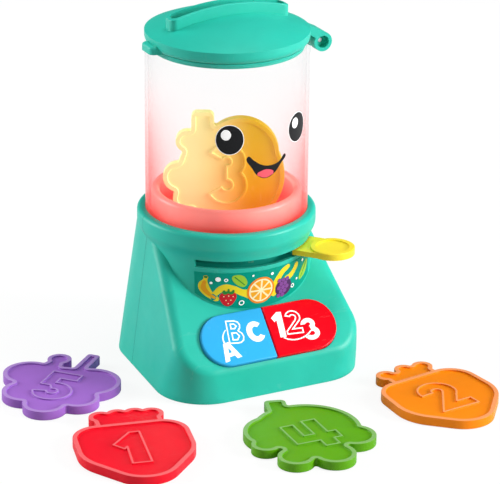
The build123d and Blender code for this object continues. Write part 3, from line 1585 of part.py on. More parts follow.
# the piece in the jar stands on edge in the bowl
UPRIGHT_ANGLE = -26.8
UPRIGHT_R = 38.0
UPRIGHT_Z = BOWL_DISH_Z + 0.15 + UPRIGHT_R
UPRIGHT = Plane(
    origin=(0, 0, UPRIGHT_Z),
    x_dir=polar(1.0, UPRIGHT_ANGLE),
    z_dir=polar(1.0, UPRIGHT_ANGLE - 90.0),
).offset(-0.5 * PIECE_T)
BANANAS = lobes(
    [
        (3.0, 0.0, UPRIGHT_R),
        (10.0, 16.0, 27.0),
        (-34.0, -2.0, 11.0),
        (-29.0, -18.0, 9.0),
        (-28.0, 25.0, 8.0),
    ],
    [(-17.0, 37.0, 16.0, 20.0)],
)
save(play_piece(UPRIGHT, [BANANAS], numeral(THREE, (0, 1), 0)), "piece_three")
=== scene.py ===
"""Toy blender: the looks of a clear-jar toy blender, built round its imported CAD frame.

Lengths are metres in the CAD frame: the origin is on the table under the jar's axis,
+X is the object's right seen from its front, -Y is its front and +Z is up.
"""

import logging
import math
from collections.abc import Iterator
from contextlib import contextmanager
from dataclasses import dataclass, field
from enum import Enum

import bpy
from mathutils import Matrix, Vector


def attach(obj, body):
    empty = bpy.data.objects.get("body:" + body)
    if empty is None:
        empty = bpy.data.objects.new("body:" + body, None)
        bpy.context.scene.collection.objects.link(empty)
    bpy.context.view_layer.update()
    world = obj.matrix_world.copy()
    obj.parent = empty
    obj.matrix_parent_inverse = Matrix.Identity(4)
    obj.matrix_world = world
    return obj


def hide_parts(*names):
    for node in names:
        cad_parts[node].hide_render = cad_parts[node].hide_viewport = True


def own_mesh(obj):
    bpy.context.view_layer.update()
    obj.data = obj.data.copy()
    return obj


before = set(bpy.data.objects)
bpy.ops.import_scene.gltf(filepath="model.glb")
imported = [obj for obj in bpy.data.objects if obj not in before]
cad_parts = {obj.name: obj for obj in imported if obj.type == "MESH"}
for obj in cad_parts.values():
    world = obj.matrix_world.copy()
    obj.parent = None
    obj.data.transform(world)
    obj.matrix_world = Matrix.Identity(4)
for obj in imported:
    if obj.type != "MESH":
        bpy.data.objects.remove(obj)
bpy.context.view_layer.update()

log = logging.getLogger("toy_blender")

Colour = tuple[float, float, float, float]
Outputs = bpy.types.NodeOutputs
Piece = bpy.types.Object
Points = list[tuple[float, float]]
Socket = bpy.types.NodeSocket
Spot = tuple[float, float]

MM = 0.001
WHITE: Colour = (1.0, 1.0, 1.0, 1.0)
DARK: Colour = (0.0, 0.0, 0.0, 1.0)
ORIGIN = (0.0, 0.0, 0.0)

JAR_R = 57.6 * MM
LAMPS_Z = 104.0 * MM  # height at which the lamps' light enters the jar
APRON_SLOPE = math.radians(45.0)
APRON_ORIGIN = Vector((0.0, -83.5 * MM, 23.0 * MM))
APRON_NORMAL = Vector((0.0, -math.sin(APRON_SLOPE), math.cos(APRON_SLOPE)))
APRON_UP = Vector((0.0, math.cos(APRON_SLOPE), math.sin(APRON_SLOPE)))
BUTTON_PROUD = 2.6 * MM
PIECE_T = 6.5 * MM

FILM = 0.08 * MM  # thickness of one ink layer on the jar
HIGHLIGHT_DEPTH = 0.3 * MM  # how deep below a ridge's top its painted highlight reaches
RIDGE_FOOT = PIECE_T - HIGHLIGHT_DEPTH
GRAIN_HEIGHT = 0.2 * MM  # relief of moulded grain and of wrap creases
FINE_HEIGHT = 0.1 * MM  # relief of ink, steel lines and board tracks
WELD = 0.002 * MM  # points nearer than this are one point
SMOOTH_BELOW = 32.0  # degrees: a flatter edge is shaded smooth
ROUND_ABOVE = math.radians(36.0)  # a sharper edge is rounded
COPLANAR = math.radians(0.4)  # faces nearer than this lie in one plane
CURVE_STEPS = 5  # points between two knots of an outline
LAST_STRIP = 0.2  # share of a strip that is not worth a cut of its own


class Slot(Enum):
    """Material slots of the record that the pieces take their finish from."""

    TEAL = "teal_plastic"
    CLEAR = "clear_plastic"
    BOWL = "bowl_plastic"
    YELLOW = "yellow_plastic"
    BLUE = "blue_plastic"
    RED = "red_plastic"
    PURPLE = "purple_plastic"
    BERRY = "berry_plastic"
    GREEN = "green_plastic"
    ORANGE = "orange_plastic"
    AMBER = "amber_plastic"
    LABEL = "label_film"
    INNER = "inner_plastic"
    BOARD = "circuit_board"
    BLACK = "black_plastic"
    CELL = "cell_wrap"
    STEEL = "steel"
    LAMP = "lamp_plastic"


# ---------------------------------------------------------------- colour and node helpers
def linear(hex_code: str) -> Colour:
    """Turns a written screen colour into scene-linear values.

    Args:
        hex_code: six hexadecimal digits.

    Returns:
        Red, green, blue and alpha, alpha being 1.
    """
    channels = [int(hex_code[i : i + 2], 16) / 255.0 for i in (0, 2, 4)]
    values = [c / 12.92 if c <= 0.04045 else ((c + 0.055) / 1.055) ** 2.4 for c in channels]
    return (values[0], values[1], values[2], 1.0)


class NodePen:
    """Adds nodes to one tree and links them."""

    def __init__(self, tree: bpy.types.NodeTree) -> None:
        """Keeps the tree that the pen writes in."""
        self.tree = tree

    def feed(self, node: bpy.types.Node, inputs: dict) -> bpy.types.Node:
        """Sets a node's inputs.

        Args:
            node: the node.
            inputs: socket name or number to a value, or to a socket that feeds it.

        Returns:
            The same node.
        """
        for key, value in inputs.items():
            if isinstance(value, Socket):
                self.tree.links.new(value, node.inputs[key])
            else:
                node.inputs[key].default_value = value
        return node

    def add(self, kind: str, inputs: dict | None = None, **settings) -> bpy.types.Node:
        """Adds a node.

        Args:
            kind: the node's type name.
            inputs: what its inputs hold, as for feed.
            settings: properties of the node.

        Returns:
            The new node.
        """
        node = self.tree.nodes.new(kind)
        for key, value in settings.items():
            setattr(node, key, value)
        return self.feed(node, inputs or {})

    def math(self, operation: str, first, second, third=0.0, clamp: bool = False) -> Socket:
        """Adds a Math node and returns its output."""
        inputs = {0: first, 1: second, 2: third}
        return self.add("ShaderNodeMath", inputs, operation=operation, use_clamp=clamp).outputs[0]

    def noise(
        self, place: Socket, scale, detail: float = 2.0, rough: float = 0.5, bent: float = 0.0
    ) -> Socket:
        """Adds a noise texture and returns its level."""
        inputs = {"Vector": place, "Scale": scale, "Detail": detail}
        inputs |= {"Roughness": rough, "Distortion": bent}
        return self.add("ShaderNodeTexNoise", inputs).outputs["Fac"]

    def part(self, place: Socket, axis: str) -> Socket:
        """Returns one coordinate of a place."""
        return self.add("ShaderNodeSeparateXYZ", {"Vector": place}).outputs[axis]

    def stretched(self, place: Socket, scale: tuple, turn: tuple = ORIGIN) -> Socket:
        """Returns a place that is turned and scaled along its axes."""
        inputs = {"Vector": place, "Rotation": turn, "Scale": scale}
        return self.add("ShaderNodeMapping", inputs).outputs["Vector"]

    def bump(self, height: Socket, strength: float, distance: float) -> Socket:
        """Adds a Bump node and returns its normal."""
        inputs = {"Height": height, "Strength": strength, "Distance": distance}
        return self.add("ShaderNodeBump", inputs).outputs["Normal"]

    def ramp(self, value: Socket, stops: list[tuple[float, Colour]], ease: bool = True) -> Socket:
        """Adds a colour ramp.

        Args:
            value: socket that drives the ramp.
            stops: position and colour pairs, in order.
            ease: smooth steps between the stops.

        Returns:
            The ramp's colour output.
        """
        node = self.add("ShaderNodeValToRGB", {"Fac": value})
        node.color_ramp.interpolation = "EASE" if ease else "LINEAR"
        elements = node.color_ramp.elements
        while len(elements) < len(stops):
            elements.new(0.5)
        for element, (position, colour) in zip(elements, stops):
            element.position = position
            element.color = colour
        return node.outputs["Color"]

    def mix(self, share, first, second, blend: str = "MIX") -> Socket:
        """Adds a colour Mix node and returns its colour output."""
        inputs = {0: share, 6: first, 7: second}
        return self.add("ShaderNodeMix", inputs, data_type="RGBA", blend_type=blend).outputs[2]


def blank_material(name: str) -> tuple[bpy.types.Material, NodePen]:
    """Makes a material without nodes.

    Args:
        name: the material's name.

    Returns:
        The material and a pen in its tree.
    """
    made = bpy.data.materials.new(name)
    made.use_nodes = True
    made.node_tree.nodes.clear()
    return made, NodePen(made.node_tree)


# ---------------------------------------------------------------- shared effects
class SharedEffect:
    """A shader node group that more than one finish uses, built once.

    An input's default tells its kind: none for a vector, a tuple for a colour, a number
    for a value. The output named Color is a colour, every other is a value.
    """

    name: str
    ins: dict[str, object]
    outs: tuple[str, ...]
    kinds = {type(None): "NodeSocketVector", tuple: "NodeSocketColor", float: "NodeSocketFloat"}

    @classmethod
    def place(cls, pen: NodePen, inputs: dict) -> Outputs:
        """Places the effect in a material.

        Args:
            pen: the material's pen.
            inputs: what the group's inputs hold there.

        Returns:
            The group's outputs.
        """
        tree = bpy.data.node_groups.get(cls.name) or cls.build()
        return pen.add("ShaderNodeGroup", inputs, node_tree=tree).outputs

    @classmethod
    def build(cls) -> bpy.types.NodeTree:
        """Builds the group with its named sockets."""
        tree = bpy.data.node_groups.new(cls.name, "ShaderNodeTree")
        for label, value in cls.ins.items():
            kind = cls.kinds[type(value)]
            socket = tree.interface.new_socket(label, in_out="INPUT", socket_type=kind)
            if value is not None:
                socket.default_value = value
        for label in cls.outs:
            kind = cls.kinds[tuple if label == "Color" else float]
            tree.interface.new_socket(label, in_out="OUTPUT", socket_type=kind)
        pen = NodePen(tree)
        given = pen.add("NodeGroupInput").outputs
        pen.add("NodeGroupOutput", cls.draw(pen, given))
        return tree


class MouldedSkin(SharedEffect):
    """Injection-moulded skin: flow mottle, fine spark grain and uneven gloss."""

    name = "moulded_skin"
    ins = {
        "Vector": None,
        "Color": (0.5, 0.5, 0.5, 1.0),
        "Mottle": 0.06,
        "Roughness": 0.4,
        "Spread": 0.08,
    }
    outs = ("Color", "Roughness", "Height")

    @classmethod
    def draw(cls, pen: NodePen, given: Outputs) -> dict[str, Socket]:
        """Draws the mottled colour, the smudged gloss and the grain."""
        place = given["Vector"]
        flow = pen.math("SUBTRACT", pen.noise(place, 34.0, 3.0, bent=0.6), 0.5)
        tone = pen.math("MULTIPLY_ADD", pen.math("MULTIPLY", flow, given["Mottle"]), 4.0, 1.0)
        inputs = {"Color": given["Color"], "Value": tone}
        mottled = pen.add("ShaderNodeHueSaturation", inputs).outputs["Color"]
        smudge = pen.math("SUBTRACT", pen.noise(place, 95.0, 4.0, 0.6), 0.5)
        smudge = pen.math("MULTIPLY", smudge, given["Spread"])
        return {
            "Color": mottled,
            "Roughness": pen.math("MULTIPLY_ADD", smudge, 3.0, given["Roughness"]),
            "Height": pen.noise(place, 2600.0, 2.0, 0.55),
        }


class HandWear(SharedEffect):
    """Faint rub marks and hairline scratches from play."""

    name = "hand_wear"
    ins = {"Vector": None, "Amount": 0.3}
    outs = ("Mask",)

    @classmethod
    def draw(cls, pen: NodePen, given: Outputs) -> dict[str, Socket]:
        """Draws hairlines that show only in patches."""
        along = pen.stretched(given["Vector"], (1.0, 9.0, 1.0), (0.5, 0.3, 0.7))
        lines = pen.noise(along, 60.0, 6.0, 0.7)
        thin = pen.ramp(lines, [(0.60, DARK), (0.66, WHITE), (0.72, DARK)])
        patch = pen.noise(given["Vector"], 22.0, 1.0)
        shown = pen.math("MULTIPLY", thin, pen.ramp(patch, [(0.48, DARK), (0.62, WHITE)]))
        return {"Mask": pen.math("MULTIPLY", shown, given["Amount"], clamp=True)}


class LampGlow(SharedEffect):
    """Light of the lamps under the bowl, strongest low down and fading upwards."""

    name = "lamp_glow"
    ins = {"Vector": None, "Low": 0.1, "High": 0.19}
    outs = ("Glow",)

    @classmethod
    def draw(cls, pen: NodePen, given: Outputs) -> dict[str, Socket]:
        """Draws a fade between two heights, with a slightly cloudy edge."""
        cloud = pen.noise(given["Vector"], 26.0, 1.0)
        height = pen.math("MULTIPLY_ADD", cloud, 0.012, pen.part(given["Vector"], "Z"))
        inputs = {"Value": height, "From Min": given["Low"], "From Max": given["High"]}
        inputs |= {"To Min": 1.0, "To Max": 0.0}
        fade = pen.add("ShaderNodeMapRange", inputs, interpolation_type="SMOOTHERSTEP")
        return {"Glow": fade.outputs["Result"]}


# ---------------------------------------------------------------- finishes
@dataclass(frozen=True)
class Finish:
    """A finish: its slot and the material that is built for it once."""

    slot: Slot
    colour: str

    @property
    def name(self) -> str:
        """Material name."""
        return f"{self.slot.value}_{self.colour.lower()}"

    @property
    def tone(self) -> Colour:
        """The finish's main colour."""
        return linear(self.colour)

    def material(self) -> bpy.types.Material:
        """Returns the finish's material, built the first time it is asked for."""
        found = bpy.data.materials.get(self.name)
        if found is not None:
            return found
        made, pen = blank_material(self.name)
        place = pen.add("ShaderNodeTexCoord").outputs["Object"]
        surface = pen.add("ShaderNodeBsdfPrincipled", self.paint(pen, place))
        pen.add("ShaderNodeOutputMaterial", {"Surface": surface.outputs["BSDF"]})
        return made

    def paint(self, pen: NodePen, place: Socket) -> dict:
        """Tells the inputs of the surface; each kind of finish has its own detail."""
        return {"Base Color": self.tone}


@dataclass(frozen=True)
class MouldedPlastic(Finish):
    """Coloured moulded plastic with grain, flow mottle and light wear.

    A slot shade colour, where there is one, is painted shade: a darker teal within a set reach
    of the jar's axis, where the lever runs inside the base's slot. A painted shade colour
    makes the piece darker towards its +X side and paler towards -X, as if lit there, and lit is
    an emission that paints light on the piece, standing in for the lamps below shining through it.
    Above a given height the ridge tops are painted paler: a painted highlight, over the real wear.
    """

    roughness: float = 0.36
    spread: float = 0.07
    mottle: float = 0.05
    grain_depth: float = 0.05
    wear: float = 0.25
    worn_share: float = 0.35
    worn_rough: float = 0.25
    highlight_share: float = 0.42
    paler: float = 0.3
    specular: float = 0.2
    milky: float = 0.0
    milky_reach: float = 4.0 * MM
    lens_core_and_slot_shade_colour: str = ""
    slot_shade_reach: float = 57.5 * MM
    painted_shade_colour: str = ""
    painted_shade_slope: float = 14.0
    lit: float = 0.0
    highlight_from: float = 0.0

    def pigment(self, pen: NodePen, place: Socket) -> Socket | Colour:
        """Returns the plastic's colour, with painted shade near the axis or across X if it has one."""
        # Painted shade: a darker teal on the lever where it runs inside the base's slot.
        if self.lens_core_and_slot_shade_colour:
            flat = pen.stretched(place, (1.0, 1.0, 0.0))
            reach = pen.add("ShaderNodeVectorMath", {0: flat}, operation="LENGTH")
            inside = pen.math("LESS_THAN", reach.outputs["Value"], self.slot_shade_reach)
            return pen.mix(inside, self.tone, linear(self.lens_core_and_slot_shade_colour))
        # Painted shade: darker towards +X and paler towards -X, as if lit from the left.
        if self.painted_shade_colour:
            across = pen.part(place, "X")
            across = pen.math("MULTIPLY_ADD", across, self.painted_shade_slope, 0.5, clamp=True)
            return pen.ramp(across, [(0.12, self.tone), (0.75, linear(self.painted_shade_colour))])
        return self.tone

    def paint(self, pen: NodePen, place: Socket) -> dict:
        """Tells the plastic's colour, gloss and grain."""
        inputs = {"Vector": place, "Color": self.pigment(pen, place), "Mottle": self.mottle}
        inputs |= {"Roughness": self.roughness, "Spread": self.spread}
        skin = MouldedSkin.place(pen, inputs)
        mask = HandWear.place(pen, {"Vector": place, "Amount": self.wear})["Mask"]
        share = pen.math("MULTIPLY", mask, self.worn_share)
        # Painted highlight: the ridge tops are painted paler, on top of the real wear.
        if self.highlight_from:
            above = pen.math("SUBTRACT", pen.part(place, "Z"), self.highlight_from)
            tops = pen.math("MULTIPLY", above, 1.0 / HIGHLIGHT_DEPTH, clamp=True)
            share = pen.math("MAXIMUM", share, pen.math("MULTIPLY", tops, self.highlight_share))
        wear_and_highlight = pen.mix(share, skin["Color"], pen.mix(self.paler, self.tone, WHITE))
        rough = pen.math("MULTIPLY_ADD", mask, self.worn_rough, skin["Roughness"], clamp=True)
        looks = {
            "Base Color": wear_and_highlight,
            "Roughness": rough,
            "Normal": pen.bump(skin["Height"], self.grain_depth, GRAIN_HEIGHT),
            "Specular IOR Level": self.specular,
            "Subsurface Weight": self.milky,
            "Subsurface Scale": self.milky_reach,
        }
        # The emission paints light on the piece.
        if self.lit:
            looks |= {"Emission Color": wear_and_highlight, "Emission Strength": self.lit}
        return looks


@dataclass(frozen=True)
class ClearJarPlastic(Finish):
    """Clear jar wall that picks up the lamps' light towards its foot."""

    glow_colour: str = "FF3B3B"
    spill_colour: str = "FF5A50"
    spill: float = 0.35
    glow_high: float = 0.17
    limb_high: float = 0.25

    def paint(self, pen: NodePen, place: Socket) -> dict:
        """Tells the see-through wall, paler at grazing angles and lit low down."""
        glow, limb = (
            LampGlow.place(pen, {"Vector": place, "Low": LAMPS_Z, "High": high})["Glow"]
            for high in (self.glow_high, self.limb_high)
        )
        haze = pen.noise(place, 60.0, 4.0)
        edge = pen.add("ShaderNodeLayerWeight", {"Blend": 0.32}).outputs["Facing"]
        clear = pen.math("MULTIPLY_ADD", pen.math("POWER", edge, 2.6), 0.34, 0.008)
        side = pen.math("MULTIPLY", pen.math("POWER", edge, 1.9), 1.05)
        veil = pen.math("ADD", clear, pen.math("MULTIPLY", limb, side))
        veil = pen.math("ADD", veil, pen.math("MULTIPLY", glow, 0.03))
        return {
            "Base Color": pen.mix(limb, self.tone, linear(self.glow_colour)),
            "Alpha": pen.math("MULTIPLY_ADD", haze, 0.012, veil),
            "Emission Color": pen.mix(limb, DARK, linear(self.spill_colour)),
            "Emission Strength": self.spill,
            "Roughness": pen.math("MULTIPLY_ADD", haze, 0.06, 0.05),
            "Specular IOR Level": 0.8,
        }


@dataclass(frozen=True)
class LitBowlPlastic(Finish):
    """Frosted bowl that glows from the lamps under it."""

    rim_colour: str = "FF9C92"
    rim_z: float = 138.0 * MM
    lit: float = 0.32

    def paint(self, pen: NodePen, place: Socket) -> dict:
        """Tells the frosted wall with its paler, brighter rim."""
        glow = LampGlow.place(pen, {"Vector": place, "Low": LAMPS_Z, "High": self.rim_z})["Glow"]
        tint = pen.mix(glow, linear(self.rim_colour), self.tone)
        inputs = {"Vector": place, "Color": tint, "Mottle": 0.08, "Roughness": 0.42}
        skin = MouldedSkin.place(pen, inputs)
        return {
            "Base Color": skin["Color"],
            "Emission Color": skin["Color"],
            "Emission Strength": self.lit,
            "Roughness": skin["Roughness"],
            "Normal": pen.bump(skin["Height"], 0.08, GRAIN_HEIGHT),
            "Specular IOR Level": 0.7,
            "Subsurface Weight": 0.1,
            "Subsurface Scale": 6.0 * MM,
        }


@dataclass(frozen=True)
class PrintedInk(Finish):
    """Screen-printed ink: even colour with a faint screen and pinholes.

    Its glow is an emission that paints light on the ink, brightening it, as a share of full white.
    """

    gloss: float = 0.35
    painted_glow: float = 0.0
    pinhole: Colour = (0.96, 0.96, 0.96, 1.0)

    def paint(self, pen: NodePen, place: Socket) -> dict:
        """Tells the ink's faint screen and uneven gloss."""
        screen = pen.add("ShaderNodeTexVoronoi", {"Vector": place, "Scale": 1900.0})
        screen = screen.outputs["Distance"]
        cover = pen.ramp(screen, [(0.0, self.pinhole), (0.5, WHITE)])
        ink = pen.mix(1.0, self.tone, cover, blend="MULTIPLY")
        cloud = pen.noise(place, 220.0, 3.0)
        looks = {
            "Base Color": ink,
            "Roughness": pen.math("MULTIPLY_ADD", cloud, 0.16, self.gloss - 0.08),
            "Specular IOR Level": 0.2,
            "Normal": pen.bump(screen, 0.03, FINE_HEIGHT),
        }
        # Painted light: an emission that brightens the ink.
        if self.painted_glow:
            looks |= {"Emission Color": ink, "Emission Strength": self.painted_glow}
        return looks


@dataclass(frozen=True)
class LampLens(Finish):
    """Coloured lens of a small lamp, glowing."""

    lens_core_and_slot_shade_colour: str = "FFC9BF"

    def paint(self, pen: NodePen, place: Socket) -> dict:
        """Tells the lens with its brighter core."""
        stops = [(0.3, self.tone), (0.7, linear(self.lens_core_and_slot_shade_colour))]
        tone = pen.ramp(pen.noise(place, 800.0), stops)
        lit = {"Emission Color": tone, "Emission Strength": 1.5}
        return {"Base Color": tone, "Roughness": 0.2} | lit


@dataclass(frozen=True)
class BrushedSteel(Finish):
    """Bright steel with drawing lines."""

    bright_colour: str = "E4E6E8"

    def paint(self, pen: NodePen, place: Socket) -> dict:
        """Tells the steel's fine lines and uneven gloss."""
        lines = pen.noise(pen.stretched(place, (1.0, 1.0, 14.0)), 420.0, 4.0)
        return {
            "Base Color": pen.ramp(lines, [(0.3, self.tone), (0.7, linear(self.bright_colour))]),
            "Roughness": pen.math("MULTIPLY_ADD", lines, 0.25, 0.18),
            "Normal": pen.bump(lines, 0.1, FINE_HEIGHT),
            "Metallic": 1.0,
        }


@dataclass(frozen=True)
class BoardLaminate(Finish):
    """Circuit board: solder mask over copper tracks."""

    track_colour: str = "3E9A58"

    def paint(self, pen: NodePen, place: Socket) -> dict:
        """Tells the mask with tracks that show through it."""
        inputs = {"Vector": place, "Scale": 160.0, "Mortar Size": 0.06}
        inputs |= {"Color1": self.tone, "Color2": self.tone, "Mortar": linear(self.track_colour)}
        tracks = pen.add("ShaderNodeTexBrick", inputs).outputs
        grain = pen.add("ShaderNodeTexNoise", {"Vector": place, "Scale": 900.0})
        return {
            "Base Color": pen.mix(0.12, tracks["Color"], grain.outputs["Color"], "OVERLAY"),
            "Normal": pen.bump(tracks["Fac"], 0.2, FINE_HEIGHT),
            "Roughness": 0.3,
        }


@dataclass(frozen=True)
class CellWrap(Finish):
    """Shrink wrap of a cell with a plain band towards one end."""

    band_colour: str = "D9A441"

    def paint(self, pen: NodePen, place: Socket) -> dict:
        """Tells the wrap with its band."""
        along = pen.math("MULTIPLY_ADD", pen.part(place, "X"), 10.0, 0.5, clamp=True)
        stops = [(0.0, self.tone), (0.5, self.tone), (0.52, linear(self.band_colour))]
        return {
            "Base Color": pen.ramp(along, stops, ease=False),
            "Normal": pen.bump(pen.noise(place, 300.0, 3.0), 0.08, GRAIN_HEIGHT),
            "Roughness": 0.25,
        }


def play_plastic(slot: Slot, colour: str, roughness: float) -> MouldedPlastic:
    """Returns the finish of a loose play piece, its ridge tops painted paler: a painted highlight."""
    return MouldedPlastic(slot, colour, roughness=roughness, highlight_from=RIDGE_FOOT)


TEAL = MouldedPlastic(Slot.TEAL, "24C1AB", roughness=0.42, specular=0.33, milky=0.03)
# The inner frame seen through the base's slot: a dark teal that paints the slot's shade, and an
# emission that paints light on it.
DEEP_TEAL = MouldedPlastic(Slot.INNER, "08806F", roughness=0.5, wear=0.1, lit=0.3)
SEAM = MouldedPlastic(Slot.TEAL, "067062", roughness=0.6, specular=0.1, wear=0.0)
CLEAR = ClearJarPlastic(Slot.CLEAR, "D6DBDE")
BOWL = LitBowlPlastic(Slot.BOWL, "DE241C")
# The lever's dark teal inside the base's slot is painted shade.
YELLOW = MouldedPlastic(Slot.YELLOW, "FFE83A", roughness=0.34, lens_core_and_slot_shade_colour="0A9482")
BLUE = MouldedPlastic(Slot.BLUE, "35B2F0", roughness=0.24, mottle=0.03)
RED = MouldedPlastic(Slot.RED, "F5001A", roughness=0.24, mottle=0.03)
PURPLE = play_plastic(Slot.PURPLE, "9E68C6", 0.38)
BERRY = play_plastic(Slot.BERRY, "EE0F28", 0.36)
GREEN = play_plastic(Slot.GREEN, "5CA30E", 0.38)
ORANGE = play_plastic(Slot.ORANGE, "FB8A06", 0.36)
# The banana piece: painted shade, paler to the left and darker to the right, and an emission that
# paints light on it.
AMBER = MouldedPlastic(
    Slot.AMBER, "F8EDA6", roughness=0.4, painted_shade_colour="D2A414", lit=0.42, mottle=0.03
)
LABEL = MouldedPlastic(
    Slot.LABEL, "009C86", roughness=0.32, specular=0.08, mottle=0.04, grain_depth=0.02, wear=0.1
)
INNER = MouldedPlastic(Slot.INNER, "E7E9E6", roughness=0.5, wear=0.1)
BLACK = MouldedPlastic(Slot.BLACK, "1C1D20", roughness=0.45, grain_depth=0.12)
BOARD = BoardLaminate(Slot.BOARD, "1E6B3A")
CELL = CellWrap(Slot.CELL, "2E3238")
STEEL = BrushedSteel(Slot.STEEL, "B9BCC0")
LAMP = LampLens(Slot.LAMP, "FF5046")
INK_BLACK = PrintedInk(Slot.LABEL, "17181B", gloss=0.25)
# The white ink's emission is painted light.
INK_WHITE = PrintedInk(Slot.LABEL, "FBFBFB", painted_glow=0.2)
INK_CORAL = PrintedInk(Slot.LABEL, "EE5A6A")
LABEL_YELLOW = PrintedInk(Slot.LABEL, "F4DC2C")
LABEL_GOLD = PrintedInk(Slot.LABEL, "F2A81E")
LABEL_RED = PrintedInk(Slot.LABEL, "D81E30")
LABEL_LIME = PrintedInk(Slot.LABEL, "9CCB3A")
LABEL_GREEN = PrintedInk(Slot.LABEL, "2E8B3A")
LABEL_ORANGE = PrintedInk(Slot.LABEL, "F58A1F")
LABEL_CREAM = PrintedInk(Slot.LABEL, "FFF0C0")
LABEL_PLUM = PrintedInk(Slot.LABEL, "4A2A5E")
LABEL_VIOLET = PrintedInk(Slot.LABEL, "7E4A98")


# ---------------------------------------------------------------- mesh helpers
def clear_selection() -> None:
    """Leaves edit mode and deselects everything."""
    if bpy.context.object is not None and bpy.context.object.mode != "OBJECT":
        bpy.ops.object.mode_set(mode="OBJECT")
    bpy.ops.object.select_all(action="DESELECT")


def pick(piece: Piece) -> None:
    """Selects one piece alone and makes it active."""
    clear_selection()
    piece.hide_set(False)
    piece.select_set(True)
    bpy.context.view_layer.objects.active = piece


@contextmanager
def editing(piece: Piece) -> Iterator[None]:
    """Opens a piece in edit mode with all of it selected, and closes it again."""
    pick(piece)
    bpy.ops.object.mode_set(mode="EDIT")
    bpy.ops.mesh.select_all(action="SELECT")
    yield
    bpy.ops.object.mode_set(mode="OBJECT")


def shift(piece: Piece, offset: tuple[float, float, float]) -> None:
    """Moves a piece's mesh by metres."""
    with editing(piece):
        bpy.ops.transform.translate(value=offset)


def turn(piece: Piece, angle: float, axis: str) -> None:
    """Turns a piece's mesh about an axis through the origin, in radians."""
    with editing(piece):
        bpy.ops.transform.rotate(value=angle, orient_axis=axis, center_override=ORIGIN)


def apply_modifier(piece: Piece, kind: str, **settings) -> None:
    """Adds a modifier and applies it at once.

    Args:
        piece: the piece.
        kind: the modifier's type.
        settings: its properties.
    """
    pick(piece)
    modifier = piece.modifiers.new(kind.lower(), kind)
    for key, value in settings.items():
        setattr(modifier, key, value)
    bpy.ops.object.modifier_apply(modifier=modifier.name)


def refined_copy(node: str, name: str, smooth_below: float = SMOOTH_BELOW) -> Piece:
    """Copies a CAD node's mesh as one welded, smoothly shaded piece.

    Args:
        node: the CAD node.
        name: the new piece's name.
        smooth_below: edges sharper than this many degrees stay sharp.

    Returns:
        The new piece.
    """
    piece = bpy.data.objects.new(name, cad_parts[node].data.copy())
    bpy.context.scene.collection.objects.link(piece)
    piece.data.materials.clear()
    with editing(piece):
        bpy.ops.mesh.customdata_custom_splitnormals_clear()
        bpy.ops.mesh.remove_doubles(threshold=WELD)
    bpy.ops.object.shade_smooth_by_angle(angle=math.radians(smooth_below))
    return piece


def soften(piece: Piece, width: float, segments: int) -> None:
    """Rounds a piece's sharp edges.

    Args:
        piece: the piece.
        width: width of the rounding in millimetres.
        segments: how many facets the rounding has.
    """
    with editing(piece):
        bpy.ops.mesh.dissolve_limited(angle_limit=COPLANAR)
    apply_modifier(
        piece,
        "BEVEL",
        width=width * MM,
        segments=segments,
        limit_method="ANGLE",
        angle_limit=ROUND_ABOVE,
        use_clamp_overlap=True,
        harden_normals=True,
    )
    with editing(piece):
        bpy.ops.mesh.dissolve_degenerate(threshold=WELD)
        bpy.ops.mesh.delete_loose()


def dress(piece: Piece, finish: Finish, body: str) -> None:
    """Gives a piece its finish and the body that it moves with."""
    piece.data.materials.clear()
    piece.data.materials.append(finish.material())
    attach(piece, body)
    log.info("%s: %d faces on %s", piece.name, len(piece.data.polygons), body)


def stand_in(
    node: str,
    name: str,
    finish: Finish,
    body: str,
    edge: float = 0.0,
    segments: int = 3,
    smooth_below: float = SMOOTH_BELOW,
) -> Piece:
    """Shows a dressed copy in a CAD node's place.

    Args:
        node: the CAD node.
        name: the copy's name.
        finish: its finish.
        body: the body that it moves with.
        edge: rounding of its sharp edges in millimetres.
        segments: how many facets the rounding has.
        smooth_below: edges sharper than this many degrees stay sharp.

    Returns:
        The copy.
    """
    piece = refined_copy(node, name, smooth_below)
    if edge:
        soften(piece, edge, segments)
    dress(piece, finish, body)
    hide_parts(node)
    return piece


def dress_nodes(finish: Finish, *nodes: str) -> None:
    """Puts a finish in CAD nodes' own material slots."""
    made = finish.material()
    for node in nodes:
        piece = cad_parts[node]
        if not piece.material_slots:
            piece.data.materials.append(made)
        for holder in piece.material_slots:
            holder.material = made
        log.info("%s: %s", node, finish.name)


def flat_outlines(name: str, outlines: list[Points], smooth: bool = True) -> Piece:
    """Makes filled flat shapes in the XZ plane from points in millimetres.

    Args:
        name: the piece's name.
        outlines: the points of each shape; a shape inside another is a hole in it.
        smooth: runs a smooth line through the points instead of straight runs.

    Returns:
        The shapes as one mesh.
    """
    clear_selection()
    bpy.ops.curve.primitive_bezier_circle_add(radius=MM)
    shape = bpy.context.object
    shape.name = name
    shape.data.dimensions = "2D"
    shape.data.fill_mode = "BOTH"
    shape.data.resolution_u = CURVE_STEPS
    shape.data.splines.clear()
    for points in outlines:
        line = shape.data.splines.new("BEZIER")
        line.bezier_points.add(len(points) - 1)
        line.use_cyclic_u = True
        for knot, (x, z) in zip(line.bezier_points, points):
            knot.co = (x * MM, z * MM, 0.0)
            knot.handle_left_type = knot.handle_right_type = "AUTO" if smooth else "VECTOR"
    bpy.ops.object.convert(target="MESH")
    stand_up(shape)
    return shape


def stand_up(shape: Piece) -> None:
    """Turns a flat mesh from the XY plane to the XZ plane, facing the front."""
    turn(shape, -0.5 * math.pi, "X")


